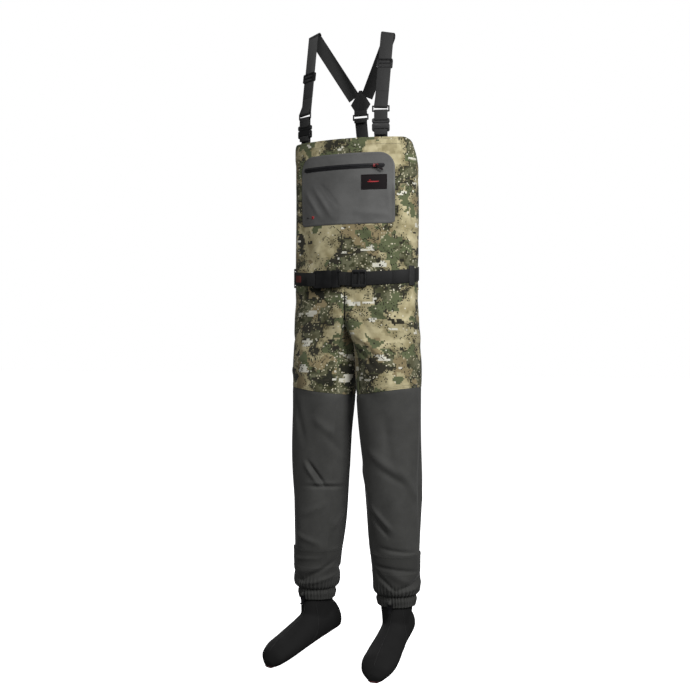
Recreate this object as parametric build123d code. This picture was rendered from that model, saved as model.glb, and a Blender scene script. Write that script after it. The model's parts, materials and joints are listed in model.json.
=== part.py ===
from build123d import *
from math import asin, atan, cos, degrees, radians, sin, sqrt
import os

# Chest waders, as they hang from the shoulders: the fabric tube, two stocking-foot legs, a waist belt and
# suspenders. Millimetres; +X is the wearer's left, -Y the front, +Z up. Heights count from the lowest point of
# the toes, and the finished pieces move down by HANG_Z, so that the origin is where the straps hang.
HANG_Z = 1826.0

# Torso tube: a four-centre oval, the same all the way from the waist seam to the chest
WALL = 2.5
BIB_HALF_WIDTH = 190.0
BIB_HALF_DEPTH = 90.0
BIB_SIDE_RADIUS = 64.0
BIB_Y = -8.0
WAIST_Z = 1080.0
RIM_FRONT_Z = 1508.0
RIM_BACK_Z = 1418.0
RIM_FALL_Y = (-58.0, 30.0)
FACING_HEIGHT = 26.0
FACING_T = 1.2
SKIN_GAP = 0.05

# Hips and legs: (height, centre from the middle, half-width, half-depth) of each leg's ellipse
HIP_OVALS = ((WAIST_Z, 190.0, 90.0, 64.0), (1000.0, 195.0, 93.0, 66.0), (930.0, 198.0, 95.0, 68.0))
CROTCH_Z = 866.0
CROTCH_OVAL = (CROTCH_Z, 197.0, 93.0, 70.0)
LEG = (
    (930.0, 97.0, 94.0, 86.0),
    (866.0, 100.0, 97.0, 90.0),
    (796.0, 102.5, 95.5, 89.0),
    (666.0, 107.5, 90.0, 86.0),
    (486.0, 114.5, 82.5, 80.0),
    (371.0, 120.0, 76.0, 75.0),
    (311.0, 123.5, 71.5, 71.5),
    (266.0, 126.0, 68.5, 68.0),
    (196.0, 127.5, 59.0, 59.0),
)
LEG_Y = -6.0
HEM_Z = 783.0
TAPE_WIDTH = 22.0
TAPE_GAP = 0.4
TAPE_T = 0.6
KNEE_Z = 591.0
KNEE_REACH = 110.0
GUARD_TOP_Z = 311.0
GUARD_WALL = 1.6

# Gravel guard's elastic hem, its lace hook and the sock inside it
CUFF_Z = (165.0, 199.0)
CUFF_RADII = (51.5, 57.0)
CUFF_X = 127.5
HOOK_WIDTH = 14.0
HOOK_WIRE = 1.6
HOOK_LEG = 2.0
HOOK_PLATE = (-15.0, -7.0)
HOOK_TONGUE = (-24.0, -15.0)
HOOK_TIP = (-26.0, -23.0)
HOOK_NARROW = 3.0
HOOK_REACH = 5.0
HOOK_RISE = 13.0
HOOK_EYE = (1.9, 3.0)
HOOK_STAND = 3.1
TAB_HALF_WIDTH = 4.0
TAB_RISE = 9.0
NEOPRENE = 4.0
ANKLE_Z = 140.0
ANKLE_TOP_Z = 205.0
FOOT_TOP_Z = 105.0
SOCK_TOP_Z = 304.0
FOOT_TILT = 14.0
FOOT_TURN = {-1: 20.0, 1: 2.0}
SOLE_DEPTH = 95.0
SOLE_CROWN = 2.0
SOLE_T = 3.0
# Foot sections along the sole: (forward of the ankle, half-width, half-height)
FOOT = (
    (-74.0, 14.0, 22.0),
    (-64.0, 29.0, 40.0),
    (-34.0, 38.0, 52.0),
    (20.0, 40.0, 50.0),
    (80.0, 44.0, 42.0),
    (140.0, 50.0, 34.0),
    (190.0, 47.0, 28.0),
    (214.0, 34.0, 21.0),
    (226.0, 16.0, 12.0),
)
# Sock shaft sections: (above the ankle pivot, half-width, half-depth)
SHAFT = (
    (160.0, 47.0, 47.0),
    (110.0, 47.0, 47.5),
    (65.0, 46.5, 48.0),
    (25.0, 46.0, 49.0),
    (-10.0, 41.0, 53.0),
    (-45.0, 36.0, 52.0),
)

# Chest pocket, zip and label, all on the front arc of the torso
POCKET_HALF_WIDTH = 150.0
POCKET_Z = (1262.0, 1465.0)
POCKET_TOP_CORNER = 45.0
POCKET_LOW_CORNER = 12.0
POCKET_T = 1.5
ZIP_X = (-138.0, 122.0)
ZIP_Z = 1426.0
ZIP_TAPE = 14.0
ZIP_COIL = 5.0
SLIDER_X = 96.0
SLIDER_SIZE = (13.0, 3.4, 9.0)
PULL_SIZE = (6.0, 1.6, 24.0)
PULL_LEAN = 55.0
PULL_EYE = (0.8, 1.6)
PIN_R = 0.6
PIN_STAND = 2.0
LUG_T = 1.2
LABEL_X = 97.0
LABEL_Z = 1380.0
LABEL_SIZE = (89.0, 43.0)
LABEL_T = 1.2

# Webbing and plastic hardware
WEB = 38.0
WEB_T = 1.8
BAR_R = 2.2
BAR_MARGIN = 0.6
FIT = 0.4
FOLD_LEAN = 28.0
PIECE_GAP = 0.3
HARDWARE_WIDTH = 50.0
BUCKLE_CORNER = 5.0
BUCKLE_SKIN = 1.8
PRONG_ARM = 3.5

# Waist belt, tilted up towards the back
BELT_Z = 1105.0
BELT_Y = -100.0
BELT_SLOPE = 0.15
BELT_GROW = (0.4, 2.6)
BELT_BUCKLE_X = -34.0
BELT_SOCKET = 58.0
BELT_PLUG = 28.0
BELT_PRONG = 27.0
BELT_THICK = 12.0
BELT_SLACK_X = 140.0
TRIGLIDE_X = 48.0
TRIGLIDE_LENGTH = 42.0
BELT_PLAY = 2.2
BELT_SLIDE_ROOM = 6.8
BELT_FOLD = 26.0
PLUG_FOLD = 20.0
LOOP_WIDTH = 20.0
LOOP_HALF_HEIGHT = 28.0
LOOP_GROW = (3.4, 4.8)
LOOP_FOOT = 6.0
# Belt loops: (x of the point that a loop faces away from, y on the torso, direction in degrees)
LOOPS = ((-126.0, -37.0, -153.0), (126.0, -37.0, -27.0), (0.0, 82.0, 90.0))

# Suspenders: hardware above the rim, then the strap over the shoulder to the crossing patch
STRAP_ANGLE = {-1: 20.9, 1: 16.4}
STRAP_SOCKET = 23.0
STRAP_PLUG = 14.0
STRAP_PRONG = 12.0
STRAP_THICK = 10.0
RING_PLAY = 2.1
STRAP_BUCKLE_Z = 1546.0
RING_Z = (1581.0, 1595.0)
RING_HALF_WIDTH = 23.0
TAB_RUN = (12.0, 56.0)
SHOULDER = {-1: (-140.0, -3.0, 1836.0), 1: (100.0, -3.0, 1819.0)}
SHOULDER_RADIUS = 9.5
LOWER_RUN = 50.0
ADJUSTER_RUN = {-1: 117.0, 1: 140.0}
ADJUSTER_LENGTH = 28.0
PATCH_Z = (1612.0, 1672.0)
PATCH_WIDTHS = (38.0, 62.0, 8.0)
PATCH_KNEE_Z = 1630.0
PATCH_Y = 28.0
PATCH_T = 4.6
BACK_RING_Z = (1586.0, 1600.0)
STRAP_END = (20.0, 27.0, 1650.0)

FAR = 900.0
SIDES = {-1: "right", 1: "left"}


def broad_radius(half_width, half_depth, side):
    """Radius of the front and back arcs that meet the side arcs of an oval smoothly."""
    reach = half_width - side
    return (reach**2 + half_depth**2 - side**2) / (2 * (half_depth - side))


ARC_RADIUS = broad_radius(BIB_HALF_WIDTH, BIB_HALF_DEPTH, BIB_SIDE_RADIUS)
ARC_Y = BIB_Y - BIB_HALF_DEPTH + ARC_RADIUS


def oval(half_width, half_depth, side, z=0.0):
    """A four-centre oval about the torso's middle."""
    reach = half_width - side
    broad = broad_radius(half_width, half_depth, side)
    sweep = degrees(asin(reach / (broad - side)))
    outline = [
        CenterArc((0, broad - half_depth), broad, 270 - sweep, 2 * sweep),
        CenterArc((reach, 0), side, 270 + sweep, 180 - 2 * sweep),
        CenterArc((0, half_depth - broad), broad, 90 - sweep, 2 * sweep),
        CenterArc((-reach, 0), side, 90 + sweep, 180 - 2 * sweep),
    ]
    return Pos(0, BIB_Y, z) * make_face(outline)


def torso_ring(inner, outer, low, high):
    """A wall round the torso between two distances from its outer surface."""
    def grown(by):
        return oval(BIB_HALF_WIDTH + by, BIB_HALF_DEPTH + by, BIB_SIDE_RADIUS + by, low)
    return extrude(grown(outer), high - low) - extrude(grown(inner), high - low)


def block(x, y, z):
    """A box between two limits on each axis."""
    size = [high - low for low, high in (x, y, z)]
    middle = [(high + low) / 2 for low, high in (x, y, z)]
    return Pos(*middle) * Box(*size)


def between(low, high):
    """Everything between two heights."""
    return block((-FAR, FAR), (-FAR, FAR), (low, high))


def below_rim(drop=0.0):
    """Everything under the bib's top edge, which falls from the front to the back."""
    front = RIM_FRONT_Z - drop
    back = RIM_BACK_Z - drop
    start, end = RIM_FALL_Y
    outline = [
        Line((-FAR, front), (start, front)),
        Spline((start, front), (end, back), tangents=((1, 0), (1, 0))),
        Line((end, back), (FAR, back)),
        Line((FAR, back), (FAR, 0)),
        Line((FAR, 0), (-FAR, 0)),
        Line((-FAR, 0), (-FAR, front)),
    ]
    return extrude(Plane.YZ * make_face(outline), FAR, both=True)


def front_panel(outline, inner, outer):
    """A flat outline in x and z wrapped on the front of the torso."""
    wall = torso_ring(inner, outer, WAIST_Z, RIM_FRONT_Z)
    return wall & (Pos(0, -FAR / 2, 0) * extrude(Plane.XZ * outline, FAR / 2, both=True))


def arc_frame(x, grow, z):
    """A frame on the front arc: its x is the tangent to the wearer's left, its y points outwards."""
    angle = asin(x / ARC_RADIUS)
    radius = ARC_RADIUS + grow
    origin = (radius * sin(angle), ARC_Y - radius * cos(angle), z)
    return Plane(origin, x_dir=(cos(angle), sin(angle), 0), z_dir=(0, 0, -1))


def ribbon(stations, width=WEB, thick=WEB_T):
    """Flat webbing through stations of (point, width direction, running direction)."""
    faces = [Plane(p, x_dir=w, z_dir=d) * Rectangle(width, thick) for p, w, d in stations]
    return loft(faces, ruled=True)


def webbing_fold(front_run, back_run, play=FIT):
    """Webbing folded round a bar at the origin; both layers run to +x and the front one leans on the back."""
    inner = BAR_R + play
    outer = inner + WEB_T
    eye = (Circle(outer) - Circle(inner)) & (Pos(-outer, 0) * Rectangle(2 * outer, 4 * outer))
    back = Pos(back_run / 2, -(inner + outer) / 2) * Rectangle(back_run, WEB_T)
    close = -inner + SKIN_GAP
    lean = min(FOLD_LEAN, front_run)
    low = close if front_run >= FOLD_LEAN else inner
    front = [(0, inner), (0, outer), (lean, low + WEB_T), (lean, low)]
    layer = make_face(Polyline(*front, close=True))
    if front_run > lean:
        layer += Pos((lean + front_run) / 2, low + WEB_T / 2) * Rectangle(front_run - lean, WEB_T)
    return extrude(eye, WEB / 2, both=True) + extrude(back, WEB / 2, both=True) + extrude(
        layer, WEB / 2, both=True
    )


def webbing_link(reach):
    """A closed band of webbing round two bars, one at the origin and one at x = reach."""
    inner = BAR_R + FIT
    band = SlotCenterToCenter(reach, 2 * (inner + WEB_T)) - SlotCenterToCenter(reach, 2 * inner)
    return extrude(Pos(reach / 2, 0) * band, WEB / 2, both=True)


def buckle_half(length, thick):
    """Flat body from x = 0 to length with a webbing bar across its far end."""
    body = block((0, length), (-thick / 2, thick / 2), (-HARDWARE_WIDTH / 2, HARDWARE_WIDTH / 2))
    body = fillet(body.edges().filter_by(Axis.Y), BUCKLE_CORNER)
    eye = BAR_R + FIT + WEB_T + FIT
    half = WEB / 2 + FIT
    bar_x = length - BAR_R - BAR_MARGIN
    mouth = block((bar_x - eye, length + 1), (-thick, thick), (-half, half))
    bar = Pos(bar_x, 0, 0) * Cylinder(BAR_R, 2 * half + 2)
    return body - mouth + bar


def buckle_socket(length, thick):
    """Socket half: its mouth is at x = 0, its bar at x = -length, and its sides are open to the prongs."""
    half = Rot(0, 180, 0) * buckle_half(length, thick)
    room = thick / 2 - BUCKLE_SKIN
    depth = length - 2 * BAR_R - BAR_MARGIN - 2 * FIT - WEB_T - 1.6
    return half - block((-depth, 1), (-room, room), (-HARDWARE_WIDTH, HARDWARE_WIDTH))


def buckle_plug(length, thick, tongue):
    """Plug half: a body outside the mouth and a middle guide inside it."""
    room = thick / 2 - BUCKLE_SKIN - FIT
    guide = block((-tongue + 3, 1), (-room, room), (-3, 3))
    return Pos(FIT, 0, 0) * buckle_half(length, thick) + guide


def buckle_prong(reach, thick, side):
    """Springy arm beside the guide, with the boss that shows at the socket's side."""
    room = thick / 2 - BUCKLE_SKIN - FIT
    edge = HARDWARE_WIDTH / 2 - 1.0
    arm = edge - 4.0
    boss = 0.4 * reach
    outline = [
        (-FIT, arm),
        (-FIT, arm - PRONG_ARM),
        (-reach, arm - PRONG_ARM),
        (-reach, arm),
        (-reach + boss * 0.4, edge),
        (-reach + boss, edge),
        (-reach + boss + 2, arm),
    ]
    outline = [(x, -side * z) for x, z in outline]
    flat = Plane.XZ * make_face(Polyline(*outline, close=True))
    return extrude(flat, room, both=True)


def slide_adjuster(length, room, play=FIT):
    """A slide round the webbing: plain behind, two windows and a middle bar in front."""
    half = WEB / 2 + play
    deep = room / 2 + 1.6
    body = block((-length / 2, length / 2), (-deep, deep), (-half - 3.6, half + 3.6))
    body = fillet(body.edges().filter_by(Axis.Y), 4.0)
    body -= block((-length, length), (-room / 2, room / 2), (-half, half))
    window = length / 2 - 6.0
    for end in (-1, 1):
        body -= Pos(end * (window / 2 + 2.5), deep, 0) * Box(window, 2 * deep - room, WEB - 4)
    return body


def wire_ring(height):
    """Rectangular ring with round bars; the lower bar is at the origin and the upper at x = height."""
    ring = None
    for x in (0, height):
        bar = Pos(x, 0, 0) * Cylinder(BAR_R, 2 * RING_HALF_WIDTH)
        ring = bar if ring is None else ring + bar
    for z in (-RING_HALF_WIDTH, RING_HALF_WIDTH):
        ring += Pos(height / 2, 0, z) * Rot(0, 90, 0) * Cylinder(BAR_R, height)
        for x in (0, height):
            ring += Pos(x, 0, z) * Sphere(BAR_R)
    return ring


def leg_tube(side, shrink):
    """One leg from inside the hips to the guard's hem, its wall face moved in by shrink."""
    faces = [
        Pos(side * x, LEG_Y, z) * Ellipse(wide - shrink, deep - shrink) for z, x, wide, deep in reversed(LEG)
    ]
    return loft(faces)


def hips(shrink):
    """The seat above the crotch."""
    floor = (CROTCH_Z + shrink,) + CROTCH_OVAL[1:]
    faces = [oval(w - shrink, d - shrink, r - shrink, z) for z, w, d, r in (floor,) + HIP_OVALS[::-1]]
    return loft(faces)


def foot_form(shrink):
    """The foot from heel to toes about the ankle's pivot, lying level, its wall face moved in by shrink."""
    sections = []
    for forward, wide, high in FOOT:
        inwards = shrink if forward < FOOT[2][0] else -shrink if forward > FOOT[-3][0] else 0
        centre = high - SOLE_DEPTH - SOLE_CROWN
        plane = Plane((0, -forward - inwards, centre), x_dir=(1, 0, 0), z_dir=(0, -1, 0))
        sections.append(plane * Ellipse(wide - shrink, high - shrink))
    return loft(sections)


def sock_form(shrink):
    """One sock from its shaft to the toes, about the ankle's pivot."""
    shaft = [Pos(0, 0, z) * Ellipse(wide - shrink, deep - shrink) for z, wide, deep in reversed(SHAFT)]
    return Rot(FOOT_TILT, 0, 0) * foot_form(shrink) + loft(shaft)


def foot_place(side):
    """Where one foot's ankle pivot is and how far the toes turn outwards."""
    return Pos(side * CUFF_X, LEG_Y, ANKLE_Z) * Rot(0, 0, side * FOOT_TURN[side])


def strap_frame(side):
    """Frame of the upright hardware on one side, its x up, its y outwards, at the rim's height."""
    angle = radians(STRAP_ANGLE[side])
    radius = ARC_RADIUS - (WALL + FACING_T) / 2
    origin = (side * radius * sin(angle), ARC_Y - radius * cos(angle), 0)
    return Plane(origin, x_dir=(0, 0, 1), z_dir=(cos(angle), side * sin(angle), 0))


def strap_line(side):
    """Start point, running direction, width direction and outward normal of one front strap."""
    base = strap_frame(side)
    start = base.origin + Vector(0, 0, RING_Z[1])
    top = Vector(*SHOULDER[side]) - Vector(0, SHOULDER_RADIUS, 0)
    along = (top - start).normalized()
    width = (base.z_dir - along * base.z_dir.dot(along)).normalized()
    return start, along, width, width.cross(along), (top - start).length


def strap_upper(side):
    """Webbing from above the ring over the shoulder to the crossing patch."""
    start, along, width, outward, length = strap_line(side)
    layer = outward * -(BAR_R + RING_PLAY + WEB_T / 2)
    stations = [(start + along * run + layer, width, along) for run in (LOWER_RUN + PIECE_GAP, length - 2.0)]
    end = Vector(side * STRAP_END[0], STRAP_END[1], STRAP_END[2])
    centre = Vector(*SHOULDER[side]) + layer
    last = centre + Vector(0, SHOULDER_RADIUS, 0)
    down = (end - last).normalized()
    facing = Vector(0, 1, 0)
    flat = (facing - down * facing.dot(down)).normalized()
    across = down.cross(flat) * -1.0
    if across.X * width.X < 0:
        across = across * -1.0
    steps = 7
    for step in range(1, steps):
        turn = radians(15 + (172 - 15) * step / steps)
        point = centre + Vector(0, -cos(turn), sin(turn)) * SHOULDER_RADIUS
        run = Vector(0, sin(turn), cos(turn)) * (1 - step / steps / 2) + down * (step / steps / 2)
        run = run.normalized()
        blend = width * (1 - step / steps) + across * (step / steps)
        stations.append((point, (blend - run * blend.dot(run)).normalized(), run))
    stations.append((last, across, down))
    stations.append((end, across, down))
    return ribbon(stations)


def save(name, *pieces):
    """Write one named piece, or a group of separate solids."""
    solids = [Pos(0, 0, -HANG_Z) * solid for piece in pieces for solid in piece.solids()]
    export_step(solids[0] if len(solids) == 1 else Compound(solids), f"parts/{name}.step")


def make_bib():
    wall = torso_ring(-WALL, 0, WAIST_Z, RIM_FRONT_Z + 5)
    save("bib_shell", wall & below_rim())
    lining = torso_ring(-WALL - SKIN_GAP - FACING_T, -WALL - SKIN_GAP, WAIST_Z, RIM_FRONT_Z + 5)
    save("rim_facing", (lining & below_rim(1.0)) - below_rim(FACING_HEIGHT))


def make_pocket():
    low, high = POCKET_Z
    outline = Pos(0, (low + high) / 2) * Rectangle(2 * POCKET_HALF_WIDTH, high - low)
    rows = outline.vertices().group_by(Axis.Y)
    outline = fillet(rows[-1], POCKET_TOP_CORNER)
    outline = fillet(outline.vertices().group_by(Axis.Y)[0], POCKET_LOW_CORNER)
    save("chest_pocket_panel", front_panel(outline, SKIN_GAP, POCKET_T))
    middle = sum(ZIP_X) / 2
    tape_face = POCKET_T + SKIN_GAP
    tape = front_panel(Pos(middle, ZIP_Z) * Rectangle(ZIP_X[1] - ZIP_X[0], ZIP_TAPE), tape_face, tape_face + 0.8)
    coil = front_panel(
        Pos(middle, ZIP_Z) * Rectangle(ZIP_X[1] - ZIP_X[0] - 6, ZIP_COIL), tape_face + 0.8, tape_face + 2.0
    )
    save("pocket_zip", tape + coil)
    wide, deep, tall = SLIDER_SIZE
    inner = tape_face + 2.0 + PIECE_GAP
    slider = front_panel(Pos(SLIDER_X, ZIP_Z) * Rectangle(wide, tall), inner, inner + deep)
    place = arc_frame(SLIDER_X, inner + deep + PIN_STAND, ZIP_Z).location * Rot(0, PULL_LEAN, 0)
    pull_width, pull_thick, pull_length = PULL_SIZE
    hole, eye = PULL_EYE
    along_pin = Rot(0, 90, 0)
    lug_x = pull_width / 2 + PIECE_GAP
    slider += place * along_pin * Cylinder(PIN_R, 2 * lug_x + LUG_T)
    for end in (-1, 1):
        lug = block(sorted((end * lug_x, end * (lug_x + LUG_T))), (-PIN_STAND - 0.5, PIN_R), (-eye, eye))
        slider += place * lug
    save("zip_slider", slider)
    pull = block((-pull_width / 2, pull_width / 2), (-pull_thick / 2, pull_thick / 2), (0, pull_length))
    pull = fillet(pull.edges().filter_by(Axis.Y).group_by(Axis.Z)[-1], 2.0)
    pull += along_pin * Cylinder(eye, pull_width)
    save("zip_pull", place * (pull - along_pin * Cylinder(hole, pull_width)))
    badge = RectangleRounded(*LABEL_SIZE, 3.0)
    save("label_patch", front_panel(Pos(LABEL_X, LABEL_Z) * badge, tape_face, tape_face + LABEL_T))


def belt_slab(half_height):
    """The tilted layer that the belt lies in."""
    tilt = degrees(atan(BELT_SLOPE))
    return Pos(0, BELT_Y, BELT_Z) * Rot(tilt, 0, 0) * Box(FAR, FAR, 2 * half_height)


def belt_height(x):
    """Height of the tilted belt's middle on the front of the torso."""
    y = ARC_Y - sqrt(ARC_RADIUS**2 - x**2)
    return BELT_Z + BELT_SLOPE * (y - BELT_Y)


def make_belt():
    ring = torso_ring(*BELT_GROW, WAIST_Z, RIM_FRONT_Z) & belt_slab(WEB / 2)
    socket_end = BELT_BUCKLE_X - BELT_SOCKET
    plug_end = BELT_BUCKLE_X + BELT_PLUG
    front = (-FAR, 0)
    band = (WAIST_Z, RIM_FRONT_Z)
    slack = ring & block((plug_end + 8, BELT_SLACK_X - 0.1), front, band)
    save("belt_slack", slack)
    buckle_grow = BELT_GROW[0] + BELT_THICK / 2 + 2 * PIECE_GAP
    place = arc_frame(BELT_BUCKLE_X, buckle_grow, belt_height(BELT_BUCKLE_X)).location
    save("belt_buckle_socket", place * buckle_socket(BELT_SOCKET, BELT_THICK))
    save("belt_buckle_plug", place * buckle_plug(BELT_PLUG, BELT_THICK, BELT_PRONG))
    for side, name in ((1, "upper"), (-1, "lower")):
        save(f"belt_prong_{name}", place * buckle_prong(BELT_PRONG, BELT_THICK, side))
    far_bar = BELT_SOCKET - BAR_R - BAR_MARGIN
    fold = place * Pos(-far_bar, 0, 0) * Rot(0, 180, 0) * webbing_fold(BELT_FOLD, BELT_FOLD)
    save("belt_main", ring - block((socket_end - 6, BELT_SLACK_X), front, band), fold)
    near_bar = FIT + BELT_PLUG - BAR_R - BAR_MARGIN
    save("belt_fold_left", place * Pos(near_bar, 0, 0) * webbing_fold(PLUG_FOLD, PLUG_FOLD))
    glide_place = arc_frame(TRIGLIDE_X, sum(BELT_GROW) / 2 + FIT, belt_height(TRIGLIDE_X)).location
    glide = glide_place * slide_adjuster(TRIGLIDE_LENGTH, BELT_SLIDE_ROOM, BELT_PLAY)
    save("belt_slide", glide - torso_ring(-20, BELT_GROW[0], WAIST_Z, RIM_FRONT_Z))
    loops = []
    for x, y, turn in LOOPS:
        reach = (-LOOP_WIDTH / 2, LOOP_WIDTH / 2)
        slab = Pos(x, BIB_Y, 0) * Rot(0, 0, turn) * block((0, FAR), reach, band)
        height = BELT_Z + BELT_SLOPE * (y - BELT_Y)
        strip = torso_ring(*LOOP_GROW, height - LOOP_HALF_HEIGHT, height + LOOP_HALF_HEIGHT)
        for end in (-1, 1):
            foot = height + end * (LOOP_HALF_HEIGHT - LOOP_FOOT / 2)
            strip += torso_ring(SKIN_GAP, LOOP_GROW[1], foot - LOOP_FOOT / 2, foot + LOOP_FOOT / 2)
        loops.append(strip & slab)
    save("belt_loops", *loops)


def make_seat():
    outer = hips(0.0)
    inner = hips(WALL)
    for side in SIDES:
        outer += leg_tube(side, 0.0)
        inner += leg_tube(side, WALL)
    shell = (outer - inner) & between(HEM_Z, WAIST_Z)
    for side, name in SIDES.items():
        half = block(sorted((0, side * FAR)), (-FAR, FAR), (0, FAR * 2))
        save(f"seat_{name}", shell & half)
    tape = hips(WALL + TAPE_GAP) - hips(WALL + TAPE_GAP + TAPE_T)
    half = TAPE_WIDTH / 2
    save("centre_seam_tape", tape & block((-half, half), (-FAR, FAR), (CROTCH_Z, WAIST_Z - 1)))


def make_leg(side, name):
    tube = leg_tube(side, 0.0)
    shell = tube - leg_tube(side, WALL)
    knee_top = KNEE_Z + KNEE_REACH
    knee_low = KNEE_Z - KNEE_REACH
    save(f"thigh_{name}", shell & between(knee_top, HEM_Z))
    save(f"knee_{name}", shell & between(knee_low, knee_top))
    save(f"shin_{name}", shell & between(GUARD_TOP_Z, knee_low))
    guard = tube - leg_tube(side, GUARD_WALL)
    save(f"gravel_guard_{name}", guard & between(CUFF_Z[1], GUARD_TOP_Z))
    inner, outer = CUFF_RADII
    hem = extrude(Circle(outer) - Circle(inner), CUFF_Z[1] - CUFF_Z[0])
    hem = Pos(side * CUFF_X, LEG_Y, CUFF_Z[0]) * fillet(hem.edges(), 2.0)
    turn = Rot(0, 0, side * FOOT_TURN[side])
    place = Pos(side * CUFF_X, LEG_Y, CUFF_Z[0] + HOOK_RISE) * turn * Pos(0, -outer - HOOK_STAND, 0)
    along_bar = Rot(0, 90, 0)
    hole, rim = HOOK_EYE
    tab_width = 2 * TAB_HALF_WIDTH
    tab = along_bar * (Cylinder(rim, tab_width) - Cylinder(hole, tab_width))
    tab += block((-TAB_HALF_WIDTH, TAB_HALF_WIDTH), (hole, HOOK_STAND + 1.5), (0, TAB_RISE))
    save(f"guard_hem_{name}", hem + place * tab)
    half = HOOK_WIDTH / 2
    slim = half - HOOK_NARROW
    hook = along_bar * Cylinder(HOOK_WIRE, HOOK_WIDTH)
    for end in (-1, 1):
        leg = sorted((end * (half - HOOK_LEG), end * half))
        hook += block(leg, (-HOOK_WIRE, HOOK_WIRE), (HOOK_PLATE[1], 0))
    hook += block((-half, half), (-HOOK_WIRE, HOOK_WIRE), HOOK_PLATE)
    hook += block((-slim, slim), (-HOOK_WIRE, HOOK_WIRE), HOOK_TONGUE)
    hook += block((-slim, slim), (-HOOK_WIRE - HOOK_REACH, HOOK_WIRE), HOOK_TIP)
    save(f"lace_hook_{name}", place * hook)


def make_sock(side, name):
    place = foot_place(side)
    skin = place * (sock_form(0.0) - sock_form(NEOPRENE))
    skin = skin.solids().sort_by(SortBy.VOLUME)[-1]
    save(f"sock_shaft_{name}", skin & between(ANKLE_TOP_Z, SOCK_TOP_Z))
    save(f"sock_ankle_{name}", skin & between(FOOT_TOP_Z, ANKLE_TOP_Z))
    sole_top = SOLE_T - SOLE_DEPTH
    tilted = place * Rot(FOOT_TILT, 0, 0)
    save(f"sock_foot_{name}", (skin & between(-FAR, FOOT_TOP_Z)) - tilted * between(-FAR, sole_top))
    save(f"sock_sole_{name}", tilted * (foot_form(0.0) & between(-SOLE_DEPTH, sole_top)))


def make_suspender(side, name):
    base = strap_frame(side)

    def upright(z):
        return Plane(base.origin + Vector(0, 0, z), x_dir=base.x_dir, z_dir=base.z_dir).location

    mouth = upright(STRAP_BUCKLE_Z)
    save(f"strap_socket_{name}", mouth * buckle_socket(STRAP_SOCKET, STRAP_THICK))
    plug = buckle_plug(STRAP_PLUG, STRAP_THICK, STRAP_PRONG)
    for across in (-1, 1):
        plug += Pos(2 * FIT, 0, 0) * buckle_prong(STRAP_PRONG, STRAP_THICK, across)
    save(f"strap_plug_{name}", mouth * plug)
    tab_bar = STRAP_BUCKLE_Z - STRAP_SOCKET + BAR_R + BAR_MARGIN
    save(f"bib_tab_{name}", upright(tab_bar) * Rot(180, 0, 180) * webbing_fold(*TAB_RUN))
    save(f"strap_ring_{name}", upright(RING_Z[0]) * wire_ring(RING_Z[1] - RING_Z[0]))
    plug_bar = STRAP_BUCKLE_Z + FIT + STRAP_PLUG - BAR_R - BAR_MARGIN
    save(f"strap_link_{name}", upright(plug_bar) * webbing_link(RING_Z[0] - plug_bar))
    start, along, width, outward, length = strap_line(side)
    slope = Plane(start, x_dir=along, z_dir=width)
    save(f"strap_lower_{name}", slope.location * webbing_fold(LOWER_RUN, LOWER_RUN, RING_PLAY))
    close = -(BAR_R + RING_PLAY) + SKIN_GAP + WEB_T / 2
    run = ADJUSTER_RUN[side]
    doubled = block((LOWER_RUN + PIECE_GAP, run), (close - WEB_T / 2, close + WEB_T / 2), (-WEB / 2, WEB / 2))
    save(f"strap_fold_{name}", slope.location * doubled)
    middle = close - WEB_T / 2 - SKIN_GAP / 2
    room = 2 * WEB_T + SKIN_GAP + 2 * FIT
    slide = Pos(run, middle, 0) * slide_adjuster(ADJUSTER_LENGTH, room)
    save(f"strap_adjuster_{name}", slope.location * slide)
    save(f"strap_upper_{name}", strap_upper(side))


def make_back():
    low, high = PATCH_Z
    foot, middle, head = PATCH_WIDTHS
    outline = [
        (-foot / 2, low),
        (foot / 2, low),
        (middle / 2, PATCH_KNEE_Z),
        (head / 2, high),
        (-head / 2, high),
        (-middle / 2, PATCH_KNEE_Z),
    ]
    plate = Plane.XZ * make_face(Polyline(*outline, close=True))
    plate = Pos(0, PATCH_Y, 0) * extrude(plate, PATCH_T / 2, both=True)
    for side in SIDES:
        plate -= strap_upper(side)
    ring_frame = Plane((0, PATCH_Y, BACK_RING_Z[0]), x_dir=(0, 0, 1), z_dir=(1, 0, 0))
    height = BACK_RING_Z[1] - BACK_RING_Z[0]
    hanger = ring_frame.location * Pos(height, 0, 0) * webbing_fold(low - BACK_RING_Z[1], low - BACK_RING_Z[1])
    save("crossing_patch", plate, hanger)
    save("back_ring", ring_frame.location * wire_ring(height))
    fold = ring_frame.location * Rot(0, 180, 0) * webbing_fold(10.0, 10.0)
    inside = BIB_Y + BIB_HALF_DEPTH - WALL - FACING_T - 2.0
    start = Vector(0, PATCH_Y + BAR_R + FIT + WEB_T / 2, BACK_RING_Z[0] - 10.0)
    corner = Vector(0, inside, RIM_BACK_Z - 8.0)
    foot_point = Vector(0, inside, RIM_BACK_Z - 90.0)
    wide = Vector(1, 0, 0)
    slope = (corner - start).normalized()
    down = Vector(0, 0, -1)
    half_way = (slope + down).normalized()
    web = ribbon([(start, wide, slope), (corner, wide, half_way), (foot_point, wide, down)])
    save("back_webbing", fold + web)


os.makedirs("parts", exist_ok=True)
make_bib()
make_pocket()
make_belt()
make_seat()
for SIDE, NAME in SIDES.items():
    make_leg(SIDE, NAME)
    make_sock(SIDE, NAME)
    make_suspender(SIDE, NAME)
make_back()
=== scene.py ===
import json
from math import atan2, cos, pi, radians, sin

import bmesh
import bpy
import numpy as np
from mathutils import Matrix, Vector
from mathutils.bvhtree import BVHTree

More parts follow.
